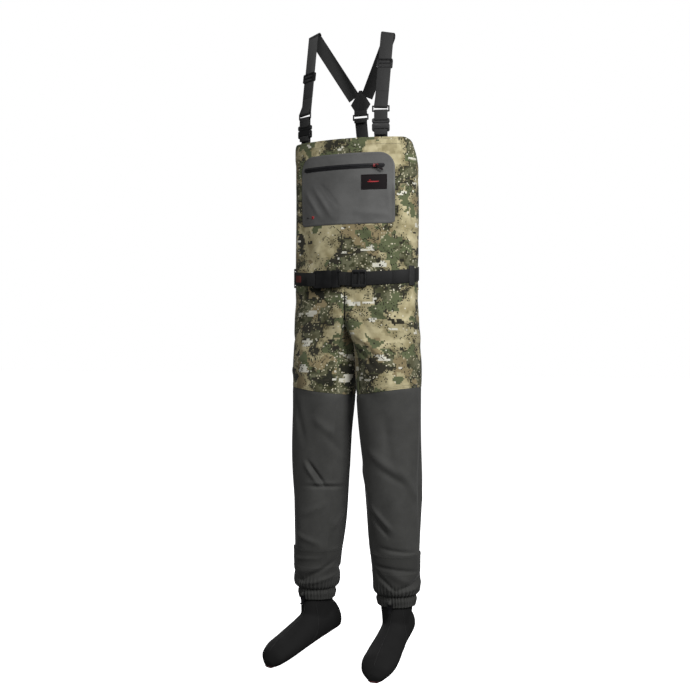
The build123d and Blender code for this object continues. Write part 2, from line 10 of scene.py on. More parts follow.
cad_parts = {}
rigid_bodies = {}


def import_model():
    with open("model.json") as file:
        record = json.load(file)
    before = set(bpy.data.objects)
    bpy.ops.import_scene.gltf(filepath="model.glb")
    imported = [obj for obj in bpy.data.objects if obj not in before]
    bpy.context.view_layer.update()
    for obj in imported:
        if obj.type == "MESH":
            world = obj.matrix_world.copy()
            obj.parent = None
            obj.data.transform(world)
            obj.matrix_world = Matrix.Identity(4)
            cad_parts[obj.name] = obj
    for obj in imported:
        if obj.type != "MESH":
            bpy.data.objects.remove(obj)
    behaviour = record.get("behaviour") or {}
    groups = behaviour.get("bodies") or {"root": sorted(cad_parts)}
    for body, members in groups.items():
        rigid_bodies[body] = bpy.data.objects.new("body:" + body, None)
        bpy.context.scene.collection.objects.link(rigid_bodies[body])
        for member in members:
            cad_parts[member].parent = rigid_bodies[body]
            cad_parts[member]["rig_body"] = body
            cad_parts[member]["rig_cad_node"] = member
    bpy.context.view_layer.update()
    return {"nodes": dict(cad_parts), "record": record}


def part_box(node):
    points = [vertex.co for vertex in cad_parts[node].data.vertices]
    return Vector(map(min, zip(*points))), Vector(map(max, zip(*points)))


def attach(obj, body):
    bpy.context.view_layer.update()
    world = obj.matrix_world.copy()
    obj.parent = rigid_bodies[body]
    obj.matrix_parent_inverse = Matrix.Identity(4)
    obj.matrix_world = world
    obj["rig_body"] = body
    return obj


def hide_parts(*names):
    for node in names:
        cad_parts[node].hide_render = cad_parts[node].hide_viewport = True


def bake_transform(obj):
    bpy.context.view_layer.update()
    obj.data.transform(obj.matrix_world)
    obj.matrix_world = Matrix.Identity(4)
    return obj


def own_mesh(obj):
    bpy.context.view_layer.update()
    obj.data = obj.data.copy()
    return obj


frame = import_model()
bpy.ops.object.select_all(action="DESELECT")

# Chest waders hanging by their suspenders. Metres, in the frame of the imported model: +X is the wearer's
# left, -Y the front, and the origin is where the straps hang. Heights in millimetres count from the toes.
MM = 0.001
TOE_Z = -1.826
SIDES = {"left": 1, "right": -1}


def height(above_toes):
    """Frame height of a level given in millimetres above the toes."""
    return TOE_Z + above_toes * MM


# Torso: a four-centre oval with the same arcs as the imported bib
BIB_LOW, BIB_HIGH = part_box("bib_shell")
HALF_WIDTH = BIB_HIGH.x
HALF_DEPTH = (BIB_HIGH.y - BIB_LOW.y) / 2
TORSO_Y = (BIB_HIGH.y + BIB_LOW.y) / 2
SIDE_RADIUS = 0.064
WAIST = BIB_LOW.z
RIM_FRONT = BIB_HIGH.z
RIM_DROP = 0.090
RIM_FALL = (-0.058, 0.030)
CLOTH = 1.6 * MM

# Hips and legs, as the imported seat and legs: height above the toes, then the ellipse or oval
HIPS = ((1100, 190, 90, 64), (1080, 190, 90, 64), (1000, 195, 93, 66), (930, 198, 95, 68), (850, 197, 93, 70))
LEG = (
    (1100, 95, 95, 84),
    (930, 97, 95, 86),
    (866, 100, 97, 90),
    (796, 102.5, 95.5, 89),
    (666, 107.5, 90, 86),
    (486, 114.5, 82.5, 80),
    (371, 120, 76, 75),
    (311, 123.5, 71.5, 71.5),
    (250, 126.5, 69.5, 69),
)
LEG_Y = -0.006
# Levels above the toes in mm, girth radii for folds, and where the legs' seams run
HEM = 783
HEM_SWAY = 12
LEG_REACH = 88
GUARD_REACH = 70
OUTSEAM = 190
CROTCH = 866
GUARD_TOP = 311
GUARD_LOW = 197
GUARD_HIGH = 317
CUFF_X = 0.1275
CUFF = (165, 199)
GATHERS = 38
SEAM_TURN = radians(223.5)
ANKLE = Vector((0, LEG_Y, height(140)))
FOOT_TILT = radians(14)
FOOT_TURN = {"left": radians(2), "right": radians(-20)}
SOCK_TOP = 304
SOLE_DEPTH = 0.092
BELT_TILT = 0.15

# ---------------------------------------------------------------------------------------------- shaping helpers


def only(obj):
    """Select this object alone and make it the active one."""
    bpy.ops.object.select_all(action="DESELECT")
    obj.select_set(True)
    bpy.context.view_layer.objects.active = obj


def edit(obj, work):
    """Run mesh operators on the whole of a mesh."""
    only(obj)
    bpy.ops.object.mode_set(mode="EDIT")
    bpy.ops.mesh.select_all(action="SELECT")
    work()
    bpy.ops.object.mode_set(mode="OBJECT")


def points(obj):
    """The mesh's points as an array."""
    flat = np.empty(len(obj.data.vertices) * 3)
    obj.data.vertices.foreach_get("co", flat)
    return flat.reshape(-1, 3)


def set_points(obj, where):
    """Move every point of the mesh."""
    obj.data.vertices.foreach_set("co", np.asarray(where, float).ravel())
    obj.data.update()


def set_flat(obj, flat):
    """Write the cloth's flat pattern, in metres, to the mesh's UV map, from one pair per point."""
    layer = obj.data.uv_layers[0] if obj.data.uv_layers else obj.data.uv_layers.new(name="flat_pattern")
    corner = np.empty(len(obj.data.loops), int)
    obj.data.loops.foreach_get("vertex_index", corner)
    layer.data.foreach_set("uv", np.asarray(flat, float)[corner].ravel())


def apply_modifier(obj, kind, **settings):
    """Add one modifier and apply it."""
    only(obj)
    modifier = obj.modifiers.new(kind.lower(), kind)
    for name, value in settings.items():
        setattr(modifier, name, value)
    bpy.ops.object.modifier_apply(modifier=modifier.name)


def cloth(name, columns, rows, drape):
    """A grid of cloth; drape(across, along), both from 0 to 1, gives its points' places and flat pattern."""
    bpy.ops.mesh.primitive_grid_add(x_subdivisions=columns, y_subdivisions=rows, size=1)
    obj = bpy.context.object
    obj.name = obj.data.name = name
    start = points(obj)
    where, flat = drape(start[:, 0] + 0.5, start[:, 1] + 0.5)
    set_flat(obj, flat)
    set_points(obj, where)
    return obj


def close_seam(obj):
    """Sew the panel's touching edges together."""
    edit(obj, lambda: bpy.ops.mesh.remove_doubles(threshold=0.0001))


def face_out(obj, away_from):
    """Turn the faces so that they look away from points that away_from gives for the faces' centres."""
    middles = np.array([p.center for p in obj.data.polygons])
    normals = np.array([p.normal for p in obj.data.polygons])
    if ((middles - away_from(middles)) * normals).sum() < 0:
        edit(obj, bpy.ops.mesh.flip_normals)


def thicken(obj, thickness, lined=False):
    """Give cloth its thickness inwards; a lined cloth shows its second material inside."""
    apply_modifier(obj, "SOLIDIFY", thickness=thickness, offset=-1, material_offset=1 if lined else 0)


def smooth(obj, angle=None):
    """Smooth shading, with edges sharper than the angle kept."""
    only(obj)
    if angle is None:
        bpy.ops.object.shade_smooth()
    else:
        bpy.ops.object.shade_smooth_by_angle(angle=radians(angle))


def dress(obj, slot, *finishes):
    """Give a piece its materials; slot is not used."""
    obj.data.materials.clear()
    for finish in finishes:
        obj.data.materials.append(finish)
    return obj


def ease(low, high, value):
    """0 below low, 1 above high and a smooth step between them."""
    t = np.clip((value - low) / (high - low), 0, 1)
    return t * t * (3 - 2 * t)


def along_table(table, column, level):
    """A smooth value at each height from a table of sections, its heights in millimetres above the toes."""
    rows = sorted(table)
    knots = np.array([row[0] for row in rows], float)
    values = np.array([row[column] for row in rows], float)
    slopes = np.gradient(values, knots)
    spot = np.clip(np.searchsorted(knots, level) - 1, 0, len(knots) - 2)
    span = knots[spot + 1] - knots[spot]
    t = np.clip((level - knots[spot]) / span, 0, 1)
    return (
        (2 * t**3 - 3 * t**2 + 1) * values[spot]
        + (t**3 - 2 * t**2 + t) * span * slopes[spot]
        + (3 * t**2 - 2 * t**3) * values[spot + 1]
        + (t**3 - t**2) * span * slopes[spot + 1]
    )


def creases(across, up, folds, round_by=0.0):
    """Sum of soft folds; each is (across, up, across, up, half width, depth) of a line on the cloth, in mm.

    On a tube, round_by is its girth, so that a fold may cross the seam."""
    total = np.zeros_like(across)
    for x1, y1, x2, y2, wide, deep in folds:
        run = np.hypot(x2 - x1, y2 - y1)
        dx, dy = (x2 - x1) / run, (y2 - y1) / run
        for shift in (-round_by, 0, round_by) if round_by else (0,):
            along = (across - x1 + shift) * dx + (up - y1) * dy
            off = (up - y1) * dx - (across - x1 + shift) * dy
            fade = ease(-0.35 * run, 0.3 * run, along) * (1 - ease(0.7 * run, 1.35 * run, along))
            total += deep * fade * np.exp(-((off / wide) ** 2))
    return total


def ripple(across, up, *waves):
    """Gentle unevenness; each wave is (pitch across, pitch up, phase, height), in mm."""
    return sum(tall * np.sin(2 * pi * (across / wide + up / long) + turn) for wide, long, turn, tall in waves)


# ------------------------------------------------------------------------------------------------------ torso


def oval(run, half_width, half_depth, side):
    """Points and outward normals of an oval at signed distances from its front middle, along its outline."""
    reach = half_width - side
    broad = (reach**2 + half_depth**2 - side**2) / (2 * (half_depth - side))
    sweep = np.arcsin(reach / (broad - side))
    front = broad * sweep
    flank = side * (pi - 2 * sweep)
    way = np.abs(run)
    turn = np.where(
        way < front,
        way / broad,
        np.where(
            way < front + flank, sweep + (way - front) / side, pi - sweep + (way - front - flank) / broad
        ),
    )
    nx, ny = np.sin(turn), -np.cos(turn)
    middle_x = np.where((way >= front) & (way < front + flank), reach, 0)
    middle_y = np.where(way < front, broad - half_depth, np.where(way < front + flank, 0, half_depth - broad))
    radius = np.where((way >= front) & (way < front + flank), side, broad)
    turned = np.sign(run) + (run == 0)
    return turned * (middle_x + radius * nx), middle_y + radius * ny + TORSO_Y, turned * nx, ny


def girth(half_width, half_depth, side):
    """Length of an oval's outline."""
    reach = half_width - side
    broad = (reach**2 + half_depth**2 - side**2) / (2 * (half_depth - side))
    sweep = float(np.arcsin(reach / (broad - side)))
    return 4 * broad * sweep + 2 * side * (pi - 2 * sweep)


GIRTH = girth(HALF_WIDTH, HALF_DEPTH, SIDE_RADIUS)


def rim_height(y):
    """Height of the bib's top edge, which falls from the front to the back."""
    return RIM_FRONT - RIM_DROP * ease(RIM_FALL[0], RIM_FALL[1], y)


def belt_height(y):
    """Height of the middle of the tilted belt."""
    return height(1105) + BELT_TILT * (y + 0.1)


# Folds by place along the girth and height above the toes in mm; see creases
BIB_FOLDS = (
    (150, 1395, 172, 1190, 9, 3.2),
    (196, 1430, 205, 1240, 10, -3.0),
    (-160, 1400, -176, 1190, 9, 3.0),
    (-205, 1420, -200, 1230, 10, -2.6),
    (60, 1250, 150, 1170, 8, 2.6),
    (-30, 1255, -118, 1165, 8, 2.4),
    (10, 1235, 40, 1150, 9, -2.0),
    (330, 1390, 300, 1180, 13, 3.4),
    (-330, 1385, -296, 1180, 13, 3.4),
    (420, 1380, 400, 1180, 13, -3.2),
    (-405, 1385, -425, 1180, 12, -3.0),
    (250, 1400, 275, 1200, 11, 2.6),
    (-255, 1400, -270, 1200, 11, 2.6),
)
BIB_WAVES = ((260, 900, 0.4, 1.5), (170, -700, 1.9, 1.0), (95, 420, 2.2, 0.6))


def bib_relief(run, z, y):
    """How far the bib's cloth stands off its smooth oval, none where the zip or the belt sit."""
    across, up = run / MM, (z - TOE_Z) / MM
    relief = creases(across, up, BIB_FOLDS) + ripple(across, up, *BIB_WAVES)
    below_zip = 1 - ease(1345, 1395, up) * (np.abs(across) < 190)
    calm_rim = ease(0.018, 0.06, rim_height(y) - z)
    calm_belt = ease(0.022, 0.06, np.abs(z - belt_height(y)))
    return relief * MM * below_zip * calm_rim * calm_belt


def on_torso(run, z, grow):
    """Points on the torso's cloth, raised from it by grow."""
    x, y, nx, ny = oval(run, HALF_WIDTH, HALF_DEPTH, SIDE_RADIUS)
    out = grow + bib_relief(run, z, y)
    return np.stack([x + out * nx, y + out * ny, z + 0 * x], 1)


def torso_middle(where):
    """The torso's upright axis beside each point."""
    return where * (0, 0, 1) + (0, TORSO_Y, 0)


def leg_middle(side):
    """A function that gives a leg's axis beside each point."""
    return lambda where: where * (0, 0, 1) + (side * 0.115, LEG_Y, 0)


# -------------------------------------------------------------------------------------------------- materials


def shade(hexed):
    """Linear colour of an sRGB hex value."""
    parts = [int(hexed[i : i + 2], 16) / 255 for i in (0, 2, 4)]
    return [c / 12.92 if c <= 0.04045 else ((c + 0.055) / 1.055) ** 2.4 for c in parts] + [1]


def add(tree, kind, inputs=None, stops=(), steps=False, **settings):
    """Add one shader node with its settings, its inputs as values or links, and a colour ramp's stops."""
    node = tree.nodes.new("ShaderNode" + kind)
    for name, value in settings.items():
        setattr(node, name, value)
    if stops:
        node.color_ramp.interpolation = "CONSTANT" if steps else "LINEAR"
        while len(node.color_ramp.elements) < len(stops):
            node.color_ramp.elements.new(1)
        for element, (place, hexed) in zip(node.color_ramp.elements, stops):
            element.position = place
            element.color = shade(hexed)
    for name, value in (inputs or {}).items():
        if isinstance(value, bpy.types.NodeSocket):
            tree.links.new(value, node.inputs[name])
        else:
            node.inputs[name].default_value = value
    return node


def finish(name, roughness, base=None, **values):
    """A material with a principled surface; base is a hex colour. Returns it, its tree and its shader."""
    made = bpy.data.materials.new(name)
    made.use_nodes = True
    tree = made.node_tree
    surface = tree.nodes["Principled BSDF"]
    surface.inputs["Roughness"].default_value = roughness
    if base:
        surface.inputs["Base Color"].default_value = shade(base)
    for socket, value in values.items():
        surface.inputs[socket.replace("_", " ")].default_value = value
    return made, tree, surface


def weave(tree, surface, spot, pitch, depth, strength=0.35, uneven=0.0006):
    """Bump of crossing threads of a pitch, with a slightly uneven surface under them."""
    wave = 2 * pi / (20 * pitch)
    inputs = {"Vector": spot, "Scale": wave}
    turned = [
        add(tree, "TexWave", inputs, bands_direction=way, wave_profile="SIN").outputs["Fac"] for way in "XY"
    ]
    threads = add(tree, "Math", {0: turned[0], 1: turned[1]}, operation="MAXIMUM").outputs[0]
    lumps = add(tree, "TexNoise", {"Vector": spot, "Scale": 60, "Detail": 3}).outputs["Fac"]
    soft = add(tree, "Bump", {"Height": lumps, "Distance": uneven, "Strength": 0.6})
    fine = add(
        tree, "Bump", {"Height": threads, "Distance": depth, "Strength": strength, "Normal": soft.outputs[0]}
    )
    tree.links.new(fine.outputs[0], surface.inputs["Normal"])


# Areas of the print: (cell in mm, shift, noise scale, detail, stretch, limit, colour)
PRINT_AREAS = (
    (4.4, 8.7, 11, 2, 1.0, 0.590, "7D7154"),
    (4.4, 15.3, 8, 3, 1.2, 0.565, "545A3F"),
    (4.8, 21.9, 10, 4, 1.5, 0.605, "2C2A21"),
    (5.8, 37.4, 11, 2, 2.4, 0.640, "C3C1B4"),
)
# Dots of the print: (cell in mm, shift, share left out, band of the ground that holds them, colour)
PRINT_DOTS = (
    (3.1, 5.2, 0.84, 0.475, 0.56, "2F2E23"),
    (3.4, 9.6, 0.93, 0.36, 0.475, "A8A289"),
    (3.6, 2.3, 0.992, 0.0, 0.999, "C3BFAC"),
)


def printed_cloth():
    """Woven polyester, matt, printed with a broken pattern of square steps in several sizes."""
    made, tree, surface = finish("printed_woven_polyester", 0.86, Sheen_Weight=0.1, Specular_IOR_Level=0.2)
    flat = add(tree, "TexCoord").outputs["UV"]

    def cells(size, shift):
        moved = add(tree, "Mapping", {"Vector": flat, "Location": (shift, shift * 0.7, 0)}).outputs[0]
        grid = {0: moved, 1: (size * MM, size * MM, 1)}
        return add(tree, "VectorMath", grid, operation="SNAP").outputs[0]

    def patches(size, shift, scale, detail, stretch=1.0):
        spot = add(tree, "Mapping", {"Vector": cells(size, shift), "Scale": (1, stretch, 1)}).outputs[0]
        return add(
            tree, "TexNoise", {"Vector": spot, "Scale": scale, "Detail": detail, "Roughness": 0.58}
        ).outputs["Fac"]

    drift = patches(4.2, 3.1, 7.5, 4)
    ground = add(
        tree,
        "ValToRGB",
        {0: drift},
        stops=(
            (0, "26271D"), (0.375, "44462F"), (0.41, "666650"), (0.452, "4E503A"), (0.476, "302F25"),
            (0.493, "857E62"), (0.512, "A69E7D"), (0.57, "B7AE8C"), (0.64, "A79E7D"),
        ),
        steps=True,
    ).outputs[0]
    shadow = add(tree, "TexNoise", {"Vector": flat, "Scale": 30, "Detail": 5}).outputs["Fac"]
    lights = add(tree, "ValToRGB", {0: shadow}, stops=((0.32, "BDB9AA"), (0.66, "FFFFFF"))).outputs[0]
    mixed = {0: 1.0, 6: ground, 7: lights}
    colour = add(tree, "Mix", mixed, data_type="RGBA", blend_type="MULTIPLY").outputs[2]
    for size, shift, scale, detail, stretch, limit, hexed in PRINT_AREAS:
        value = patches(size, shift, scale, detail, stretch)
        area = add(tree, "Math", {0: value, 1: limit}, operation="GREATER_THAN").outputs[0]
        colour = add(tree, "Mix", {0: area, 6: colour, 7: shade(hexed)}, data_type="RGBA").outputs[2]
    for size, shift, share, low, high, hexed in PRINT_DOTS:
        spot = {"Vector": cells(size, shift)}
        value = add(tree, "TexWhiteNoise", spot, noise_dimensions="2D").outputs["Value"]
        dot = add(tree, "Math", {0: value, 1: share}, operation="GREATER_THAN").outputs[0]
        band_stops = ((0, "000000"), (low, "FFFFFF"), (high, "000000"))
        band = add(tree, "ValToRGB", {0: drift}, stops=band_stops, steps=True).outputs[0]
        area = add(tree, "Math", {0: dot, 1: band}, operation="MULTIPLY").outputs[0]
        colour = add(tree, "Mix", {0: area, 6: colour, 7: shade(hexed)}, data_type="RGBA").outputs[2]
    tree.links.new(colour, surface.inputs["Base Color"])
    weave(tree, surface, flat, 1.5 * MM, 0.15 * MM)
    return made


def plain_cloth(name, low, high, roughness, pitch, sheen=0.1):
    """Plain dyed cloth: a little uneven in tone where it has been rubbed."""
    made, tree, surface = finish(name, roughness, Sheen_Weight=sheen, Specular_IOR_Level=0.35)
    flat = add(tree, "TexCoord").outputs["UV"]
    wear = add(tree, "TexNoise", {"Vector": flat, "Scale": 14, "Detail": 6, "Roughness": 0.65}).outputs["Fac"]
    tone = add(tree, "ValToRGB", {0: wear}, stops=((0.3, low), (0.7, high))).outputs[0]
    grain = add(tree, "TexNoise", {"Vector": flat, "Scale": 700, "Detail": 2}).outputs["Fac"]
    speck = add(tree, "ValToRGB", {0: grain}, stops=((0.3, "D8D8D8"), (0.7, "FFFFFF"))).outputs[0]
    worn = add(tree, "Mix", {0: 1.0, 6: tone, 7: speck}, data_type="RGBA", blend_type="MULTIPLY").outputs[2]
    tree.links.new(worn, surface.inputs["Base Color"])
    weave(tree, surface, flat, pitch, 0.12 * MM)
    return made


def webbing_finish(name, low, high):
    """Woven polypropylene webbing: ribs across its length, painted shade in the grooves between its threads and
    a slight shine on the threads.
    """
    made, tree, surface = finish(name, 0.7, Sheen_Weight=0.05, Specular_IOR_Level=0.25)
    flat = add(tree, "TexCoord").outputs["UV"]
    ribs = add(
        tree, "TexWave", {"Vector": flat, "Scale": 2 * pi / (20 * 2.4 * MM)}, bands_direction="Y"
    ).outputs["Fac"]
    cords = add(
        tree, "TexWave", {"Vector": flat, "Scale": 2 * pi / (20 * 3.2 * MM)}, bands_direction="X"
    ).outputs["Fac"]
    threads = add(tree, "Math", {0: ribs, 1: cords}, operation="MULTIPLY").outputs[0]
    # Painted shade: the colour follows the threads' height, darker in the grooves between them
    tone = add(tree, "ValToRGB", {0: threads}, stops=((0.0, low), (0.6, high))).outputs[0]
    tree.links.new(tone, surface.inputs["Base Color"])
    raised = add(tree, "Bump", {"Height": threads, "Distance": 0.35 * MM, "Strength": 0.6})
    tree.links.new(raised.outputs[0], surface.inputs["Normal"])
    return made


def solid_finish(
    name, base, lighter, roughness, grain, depth, specular=0.5, metallic=0.0, coat=0.0, scale=40
):
    """Moulded, painted or knitted surface on the piece's own coordinates: fine grain and uneven gloss."""
    gloss_values = {"Metallic": metallic, "Coat_Weight": coat, "Specular_IOR_Level": specular}
    made, tree, surface = finish(name, roughness, **gloss_values)
    spot = add(tree, "TexCoord").outputs["Object"]
    wear = add(tree, "TexNoise", {"Vector": spot, "Scale": scale, "Detail": 5}).outputs["Fac"]
    tone = add(tree, "ValToRGB", {0: wear}, stops=((0.3, base), (0.72, lighter))).outputs[0]
    tree.links.new(tone, surface.inputs["Base Color"])
    gloss = add(
        tree, "MapRange", {0: wear, 1: 0.3, 2: 0.7, 3: roughness - 0.06, 4: roughness + 0.08}
    ).outputs[0]
    tree.links.new(gloss, surface.inputs["Roughness"])
    texture = add(tree, "TexNoise", {"Vector": spot, "Scale": grain, "Detail": 3}).outputs["Fac"]
    bump = add(tree, "Bump", {"Height": texture, "Distance": depth, "Strength": 0.5})
    tree.links.new(bump.outputs[0], surface.inputs["Normal"])
    return made


# Polyester, woven and printed with broken patches in browns, greens and tans
PRINTED = printed_cloth()
# Nylon twill, dyed grey and matt
LEG_CLOTH = plain_cloth("woven_nylon_twill", "373735", "434341", 0.8, 1.4 * MM)
# Woven nylon of the gravel guards, the same as the legs' but a shade darker: painted shade for the shadow held
# in the guards' folds
SHADED_GUARD_NYLON = plain_cloth("woven_nylon_painted_shade", "2E2E2C", "393937", 0.8, 1.4 * MM)
# Nylon with a smooth coated face, a little glossier than the legs
POCKET_CLOTH = plain_cloth("coated_nylon", "50504F", "5E5E5D", 0.55, 1.6 * MM, 0.05)
# Knitted backing, dark, with a dull face
LINING = plain_cloth("tricot_knit_lining", "2A2A29", "343432", 0.9, 1.8 * MM)
# Polypropylene webbing of the suspenders, ribbed, near black
STRAP_WEBBING = webbing_finish("woven_polypropylene_webbing", "1B1B1B", "323232")
# Nylon webbing of the belt, blacker than the suspenders
BELT_WEBBING = webbing_finish("woven_nylon_belt_webbing", "0D0D0D", "1D1D1D")
# Neoprene foam faced with fine black knit: matt, with a soft fuzz
NEOPRENE = solid_finish("knit_faced_neoprene", "121212", "1B1B1B", 0.9, 900, 0.25 * MM, 0.25, scale=25)
# Rubber printed on knit for grip: dull and rough
SOLE = solid_finish("printed_grip_rubber", "181818", "242424", 0.8, 350, 0.5 * MM, 0.3)
# Acetal, injection moulded: fine matt texture on every face
ACETAL = solid_finish("moulded_acetal", "0B0B0C", "141415", 0.42, 1400, 0.06 * MM, 0.35)
# Zinc, cast and painted dark red: smooth, with a thin clear coat
RED_ZINC = solid_finish("painted_cast_zinc", "5C1416", "7A1D20", 0.35, 900, 0.03 * MM, coat=0.4)
# PVC, moulded soft: dark, smooth and slightly glossy
SOFT_PVC = solid_finish("moulded_soft_pvc", "0C0809", "140D0F", 0.55, 1100, 0.05 * MM, 0.15)
# The same PVC dyed red, for raised marks
RED_PVC = solid_finish("moulded_red_pvc", "8E1B20", "A8262B", 0.45, 1100, 0.04 * MM)
# Urethane film over the zip's coil: black and satin
ZIP_FILM = solid_finish("urethane_film", "121214", "1C1C1F", 0.45, 500, 0.05 * MM, 0.3)
# Steel wire and sheet, black coated: low gloss
HOOK_STEEL = solid_finish("coated_steel", "17171A", "26262A", 0.4, 800, 0.03 * MM, metallic=0.6)
# Bonded polyester thread, with a soft shine
GREY_THREAD = solid_finish("bonded_grey_thread", "2C2C2A", "3A3A38", 0.6, 2500, 0.05 * MM)
# Nylon thread of the flat seams, a shade lighter than the foam's knit
SEAM_THREAD = solid_finish("nylon_seam_thread", "1E1E1E", "2A2A2A", 0.7, 2500, 0.05 * MM, 0.3)
# Elasticated red piping, woven and dull
RED_PIPING = solid_finish("woven_red_piping", "4A2226", "62292E", 0.75, 1500, 0.1 * MM)
# Dull red ribbon, woven
RED_RIBBON = solid_finish("woven_red_ribbon", "4C1A14", "6A2A20", 0.8, 1500, 0.1 * MM)
# Studio paper, lit almost to white
PAPER = finish("studio_paper", 0.95, "F4F4F4", Specular_IOR_Level=0.1, Emission_Strength=1.0)[0]
PAPER.node_tree.nodes["Principled BSDF"].inputs["Emission Color"].default_value = (1, 1, 1, 1)

# ----------------------------------------------------------------------------------- camera, floor and lights

# The camera stands to the wearer's left of the front and looks at the middle of the object
VIEW_TURN = radians(23.5)
VIEW_DISTANCE = 3.2
AIM_SIDE = -0.0354
AIM_HEIGHT = -0.910


def look(obj, target):
    """Turn a camera or lamp towards a point."""
    obj.rotation_euler = (Vector(target) - obj.location).to_track_quat("-Z", "Y").to_euler()


aim = Vector((AIM_SIDE * cos(VIEW_TURN), AIM_SIDE * sin(VIEW_TURN), AIM_HEIGHT))
bpy.ops.object.camera_add(location=aim + VIEW_DISTANCE * Vector((sin(VIEW_TURN), -cos(VIEW_TURN), 0)))
camera = bpy.context.object
camera.data.lens = 56.6
camera.data.sensor_width = 36
look(camera, aim)
bpy.context.scene.camera = camera
bpy.context.scene.view_settings.view_transform = "Standard"

FLOOR_Z = TOE_Z - 0.09
bpy.ops.mesh.primitive_plane_add(size=60, location=(0, 0, FLOOR_Z))
floor = bpy.context.object
floor.name = "floor"
floor.data.transform(floor.matrix_world)
floor.location = (0, 0, 0)
floor.data.materials.append(PAPER)

for ray in ("diffuse", "glossy"):
    setattr(floor, f"visible_{ray}", False)

# Even light from all round, kept low so that folds show; the camera sees the backdrop white
AMBIENT = 0.14
world = bpy.data.worlds.new("studio")
bpy.context.scene.world = world
world.use_nodes = True
backdrop = world.node_tree.nodes["Background"]
seen = add(world.node_tree, "LightPath").outputs["Is Camera Ray"]
strength = add(world.node_tree, "MapRange", {0: seen, 3: AMBIENT, 4: 1.0}).outputs[0]
world.node_tree.links.new(strength, backdrop.inputs["Strength"])
backdrop.inputs["Color"].default_value = (1, 1, 1, 1)
for name, place, power, size in (
    ("key_softbox", (2.5, -1.7, 1.0), 138, 1.2),
    ("front_softbox", (0.3, -3.4, 1.3), 44, 1.6),
    ("back_softbox", (-2.2, 3.6, 0.6), 70, 2.0),
):
    bpy.ops.object.light_add(type="AREA", location=place)
    lamp = bpy.context.object
    lamp.name = name
    lamp.data.energy = power
    lamp.data.size = size
    look(lamp, (0, 0, -0.9))

# ------------------------------------------------------------------------------------------------- stitching


def stitch_row(name, where, out, thread, body, long=2.6 * MM, pitch=4.2 * MM, thick=0.5 * MM):
    """A row of stitches along points, each a small lens of thread, about twice as coarse as real ones."""
    where, out = np.asarray(where, float), np.asarray(out, float)
    reach = np.r_[0, np.cumsum(np.linalg.norm(np.diff(where, axis=0), axis=1))]
    count = max(2, int(reach[-1] / pitch))
    at = (np.arange(count) + 0.5) * reach[-1] / count
    middle = np.stack([np.interp(at, reach, where[:, i]) for i in range(3)], 1)
    ahead = np.stack([np.interp(at + pitch / 4, reach, where[:, i]) for i in range(3)], 1)
    behind = np.stack([np.interp(at - pitch / 4, reach, where[:, i]) for i in range(3)], 1)
    run = ahead - behind
    run /= np.linalg.norm(run, axis=1)[:, None]
    lift = np.stack([np.interp(at, reach, out[:, i]) for i in range(3)], 1)
    lift /= np.linalg.norm(lift, axis=1)[:, None]
    side = np.cross(run, lift)
    bpy.ops.mesh.primitive_uv_sphere_add(segments=6, ring_count=4, radius=1)
    lens = bpy.context.object
    shape = points(lens) * (thick, thick, long / 2)
    faces = [list(p.vertices) for p in lens.data.polygons]
    bpy.data.objects.remove(lens)
    placed = (
        middle[:, None]
        + shape[None, :, 0:1] * side[:, None]
        + (shape[None, :, 1:2] + 0.4 * thick) * lift[:, None]
        + shape[None, :, 2:3] * run[:, None]
    )
    size = len(shape)
    mesh = bpy.data.meshes.new(name)
    mesh.from_pydata(
        placed.reshape(-1, 3).tolist(), [], [[v + k * size for v in f] for k in range(count) for f in faces]
    )
    row = bpy.data.objects.new(name, mesh)
    bpy.context.scene.collection.objects.link(row)
    edit(row, lambda: bpy.ops.mesh.normals_make_consistent(inside=False))
    smooth(row)
    dress(row, "webbing", thread)
    if body:
        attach(row, body)
    return row


# -------------------------------------------------------------------------------------------------------- bib


def make_bib():
    """The printed tube from the waist to the chest, with its doubled and stitched rim."""

    def drape(across, along):
        run = (across - 0.5) * GIRTH
        _, y, _, _ = oval(run, HALF_WIDTH, HALF_DEPTH, SIDE_RADIUS)
        low = WAIST - 0.004
        z = low + along * (rim_height(y) - low)
        hem = 0.5 * MM * ease(0.025, 0.022, rim_height(y) - z)
        return on_torso(run, z, hem), np.stack([run, z - TOE_Z], 1)

    bib = cloth("bib_cloth", 240, 110, drape)
    close_seam(bib)
    face_out(bib, torso_middle)
    dress(bib, "camo_fabric", PRINTED, LINING)
    thicken(bib, CLOTH, lined=True)
    apply_modifier(bib, "BEVEL", width=0.4 * MM, segments=2, angle_limit=radians(60))
    smooth(bib)
    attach(bib, "root")
    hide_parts("bib_shell")
    run = np.linspace(-GIRTH / 2, GIRTH / 2, 400)
    _, y, nx, ny = oval(run, HALF_WIDTH, HALF_DEPTH, SIDE_RADIUS)
    out = np.stack([nx, ny, 0 * nx], 1)
    for number, drop in enumerate((5, 20)):
        path = on_torso(run, rim_height(y) - drop * MM, 0.6 * MM)
        stitch_row(f"rim_stitches_{number + 1}", path, out, GREY_THREAD, "root")


def lay(piece, slot, surface, thickness, angle, node=None):
    """Finish a panel worn on the torso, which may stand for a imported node."""
    face_out(piece, torso_middle)
    dress(piece, slot, surface)
    thicken(piece, thickness)
    smooth(piece, angle)
    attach(piece, "root")
    if node:
        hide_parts(node)


def panel(name, left, right, low, high, columns, rows, grow, corner=0.0):
    """A flat panel worn on the front of the torso; grow(across, along) is its height off the cloth."""

    def drape(across, along):
        z = height(low) + along * (high - low) * MM
        inset = np.zeros_like(z)
        if corner:
            radius = corner * MM
            over = np.clip(z - (height(high) - radius), 0, radius)
            inset = radius - np.sqrt(np.maximum(radius**2 - over**2, 0))
            small = 12 * MM
            under = np.clip(height(low) + small - z, 0, small)
            inset += small - np.sqrt(np.maximum(small**2 - under**2, 0))
        middle = (left + right) / 2 * MM
        half = (right - left) / 2 * MM - inset
        run = middle + (2 * across - 1) * half
        return on_torso(run, z, grow(across, along)), np.stack([run, z - TOE_Z], 1)

    return cloth(name, columns, rows, drape)


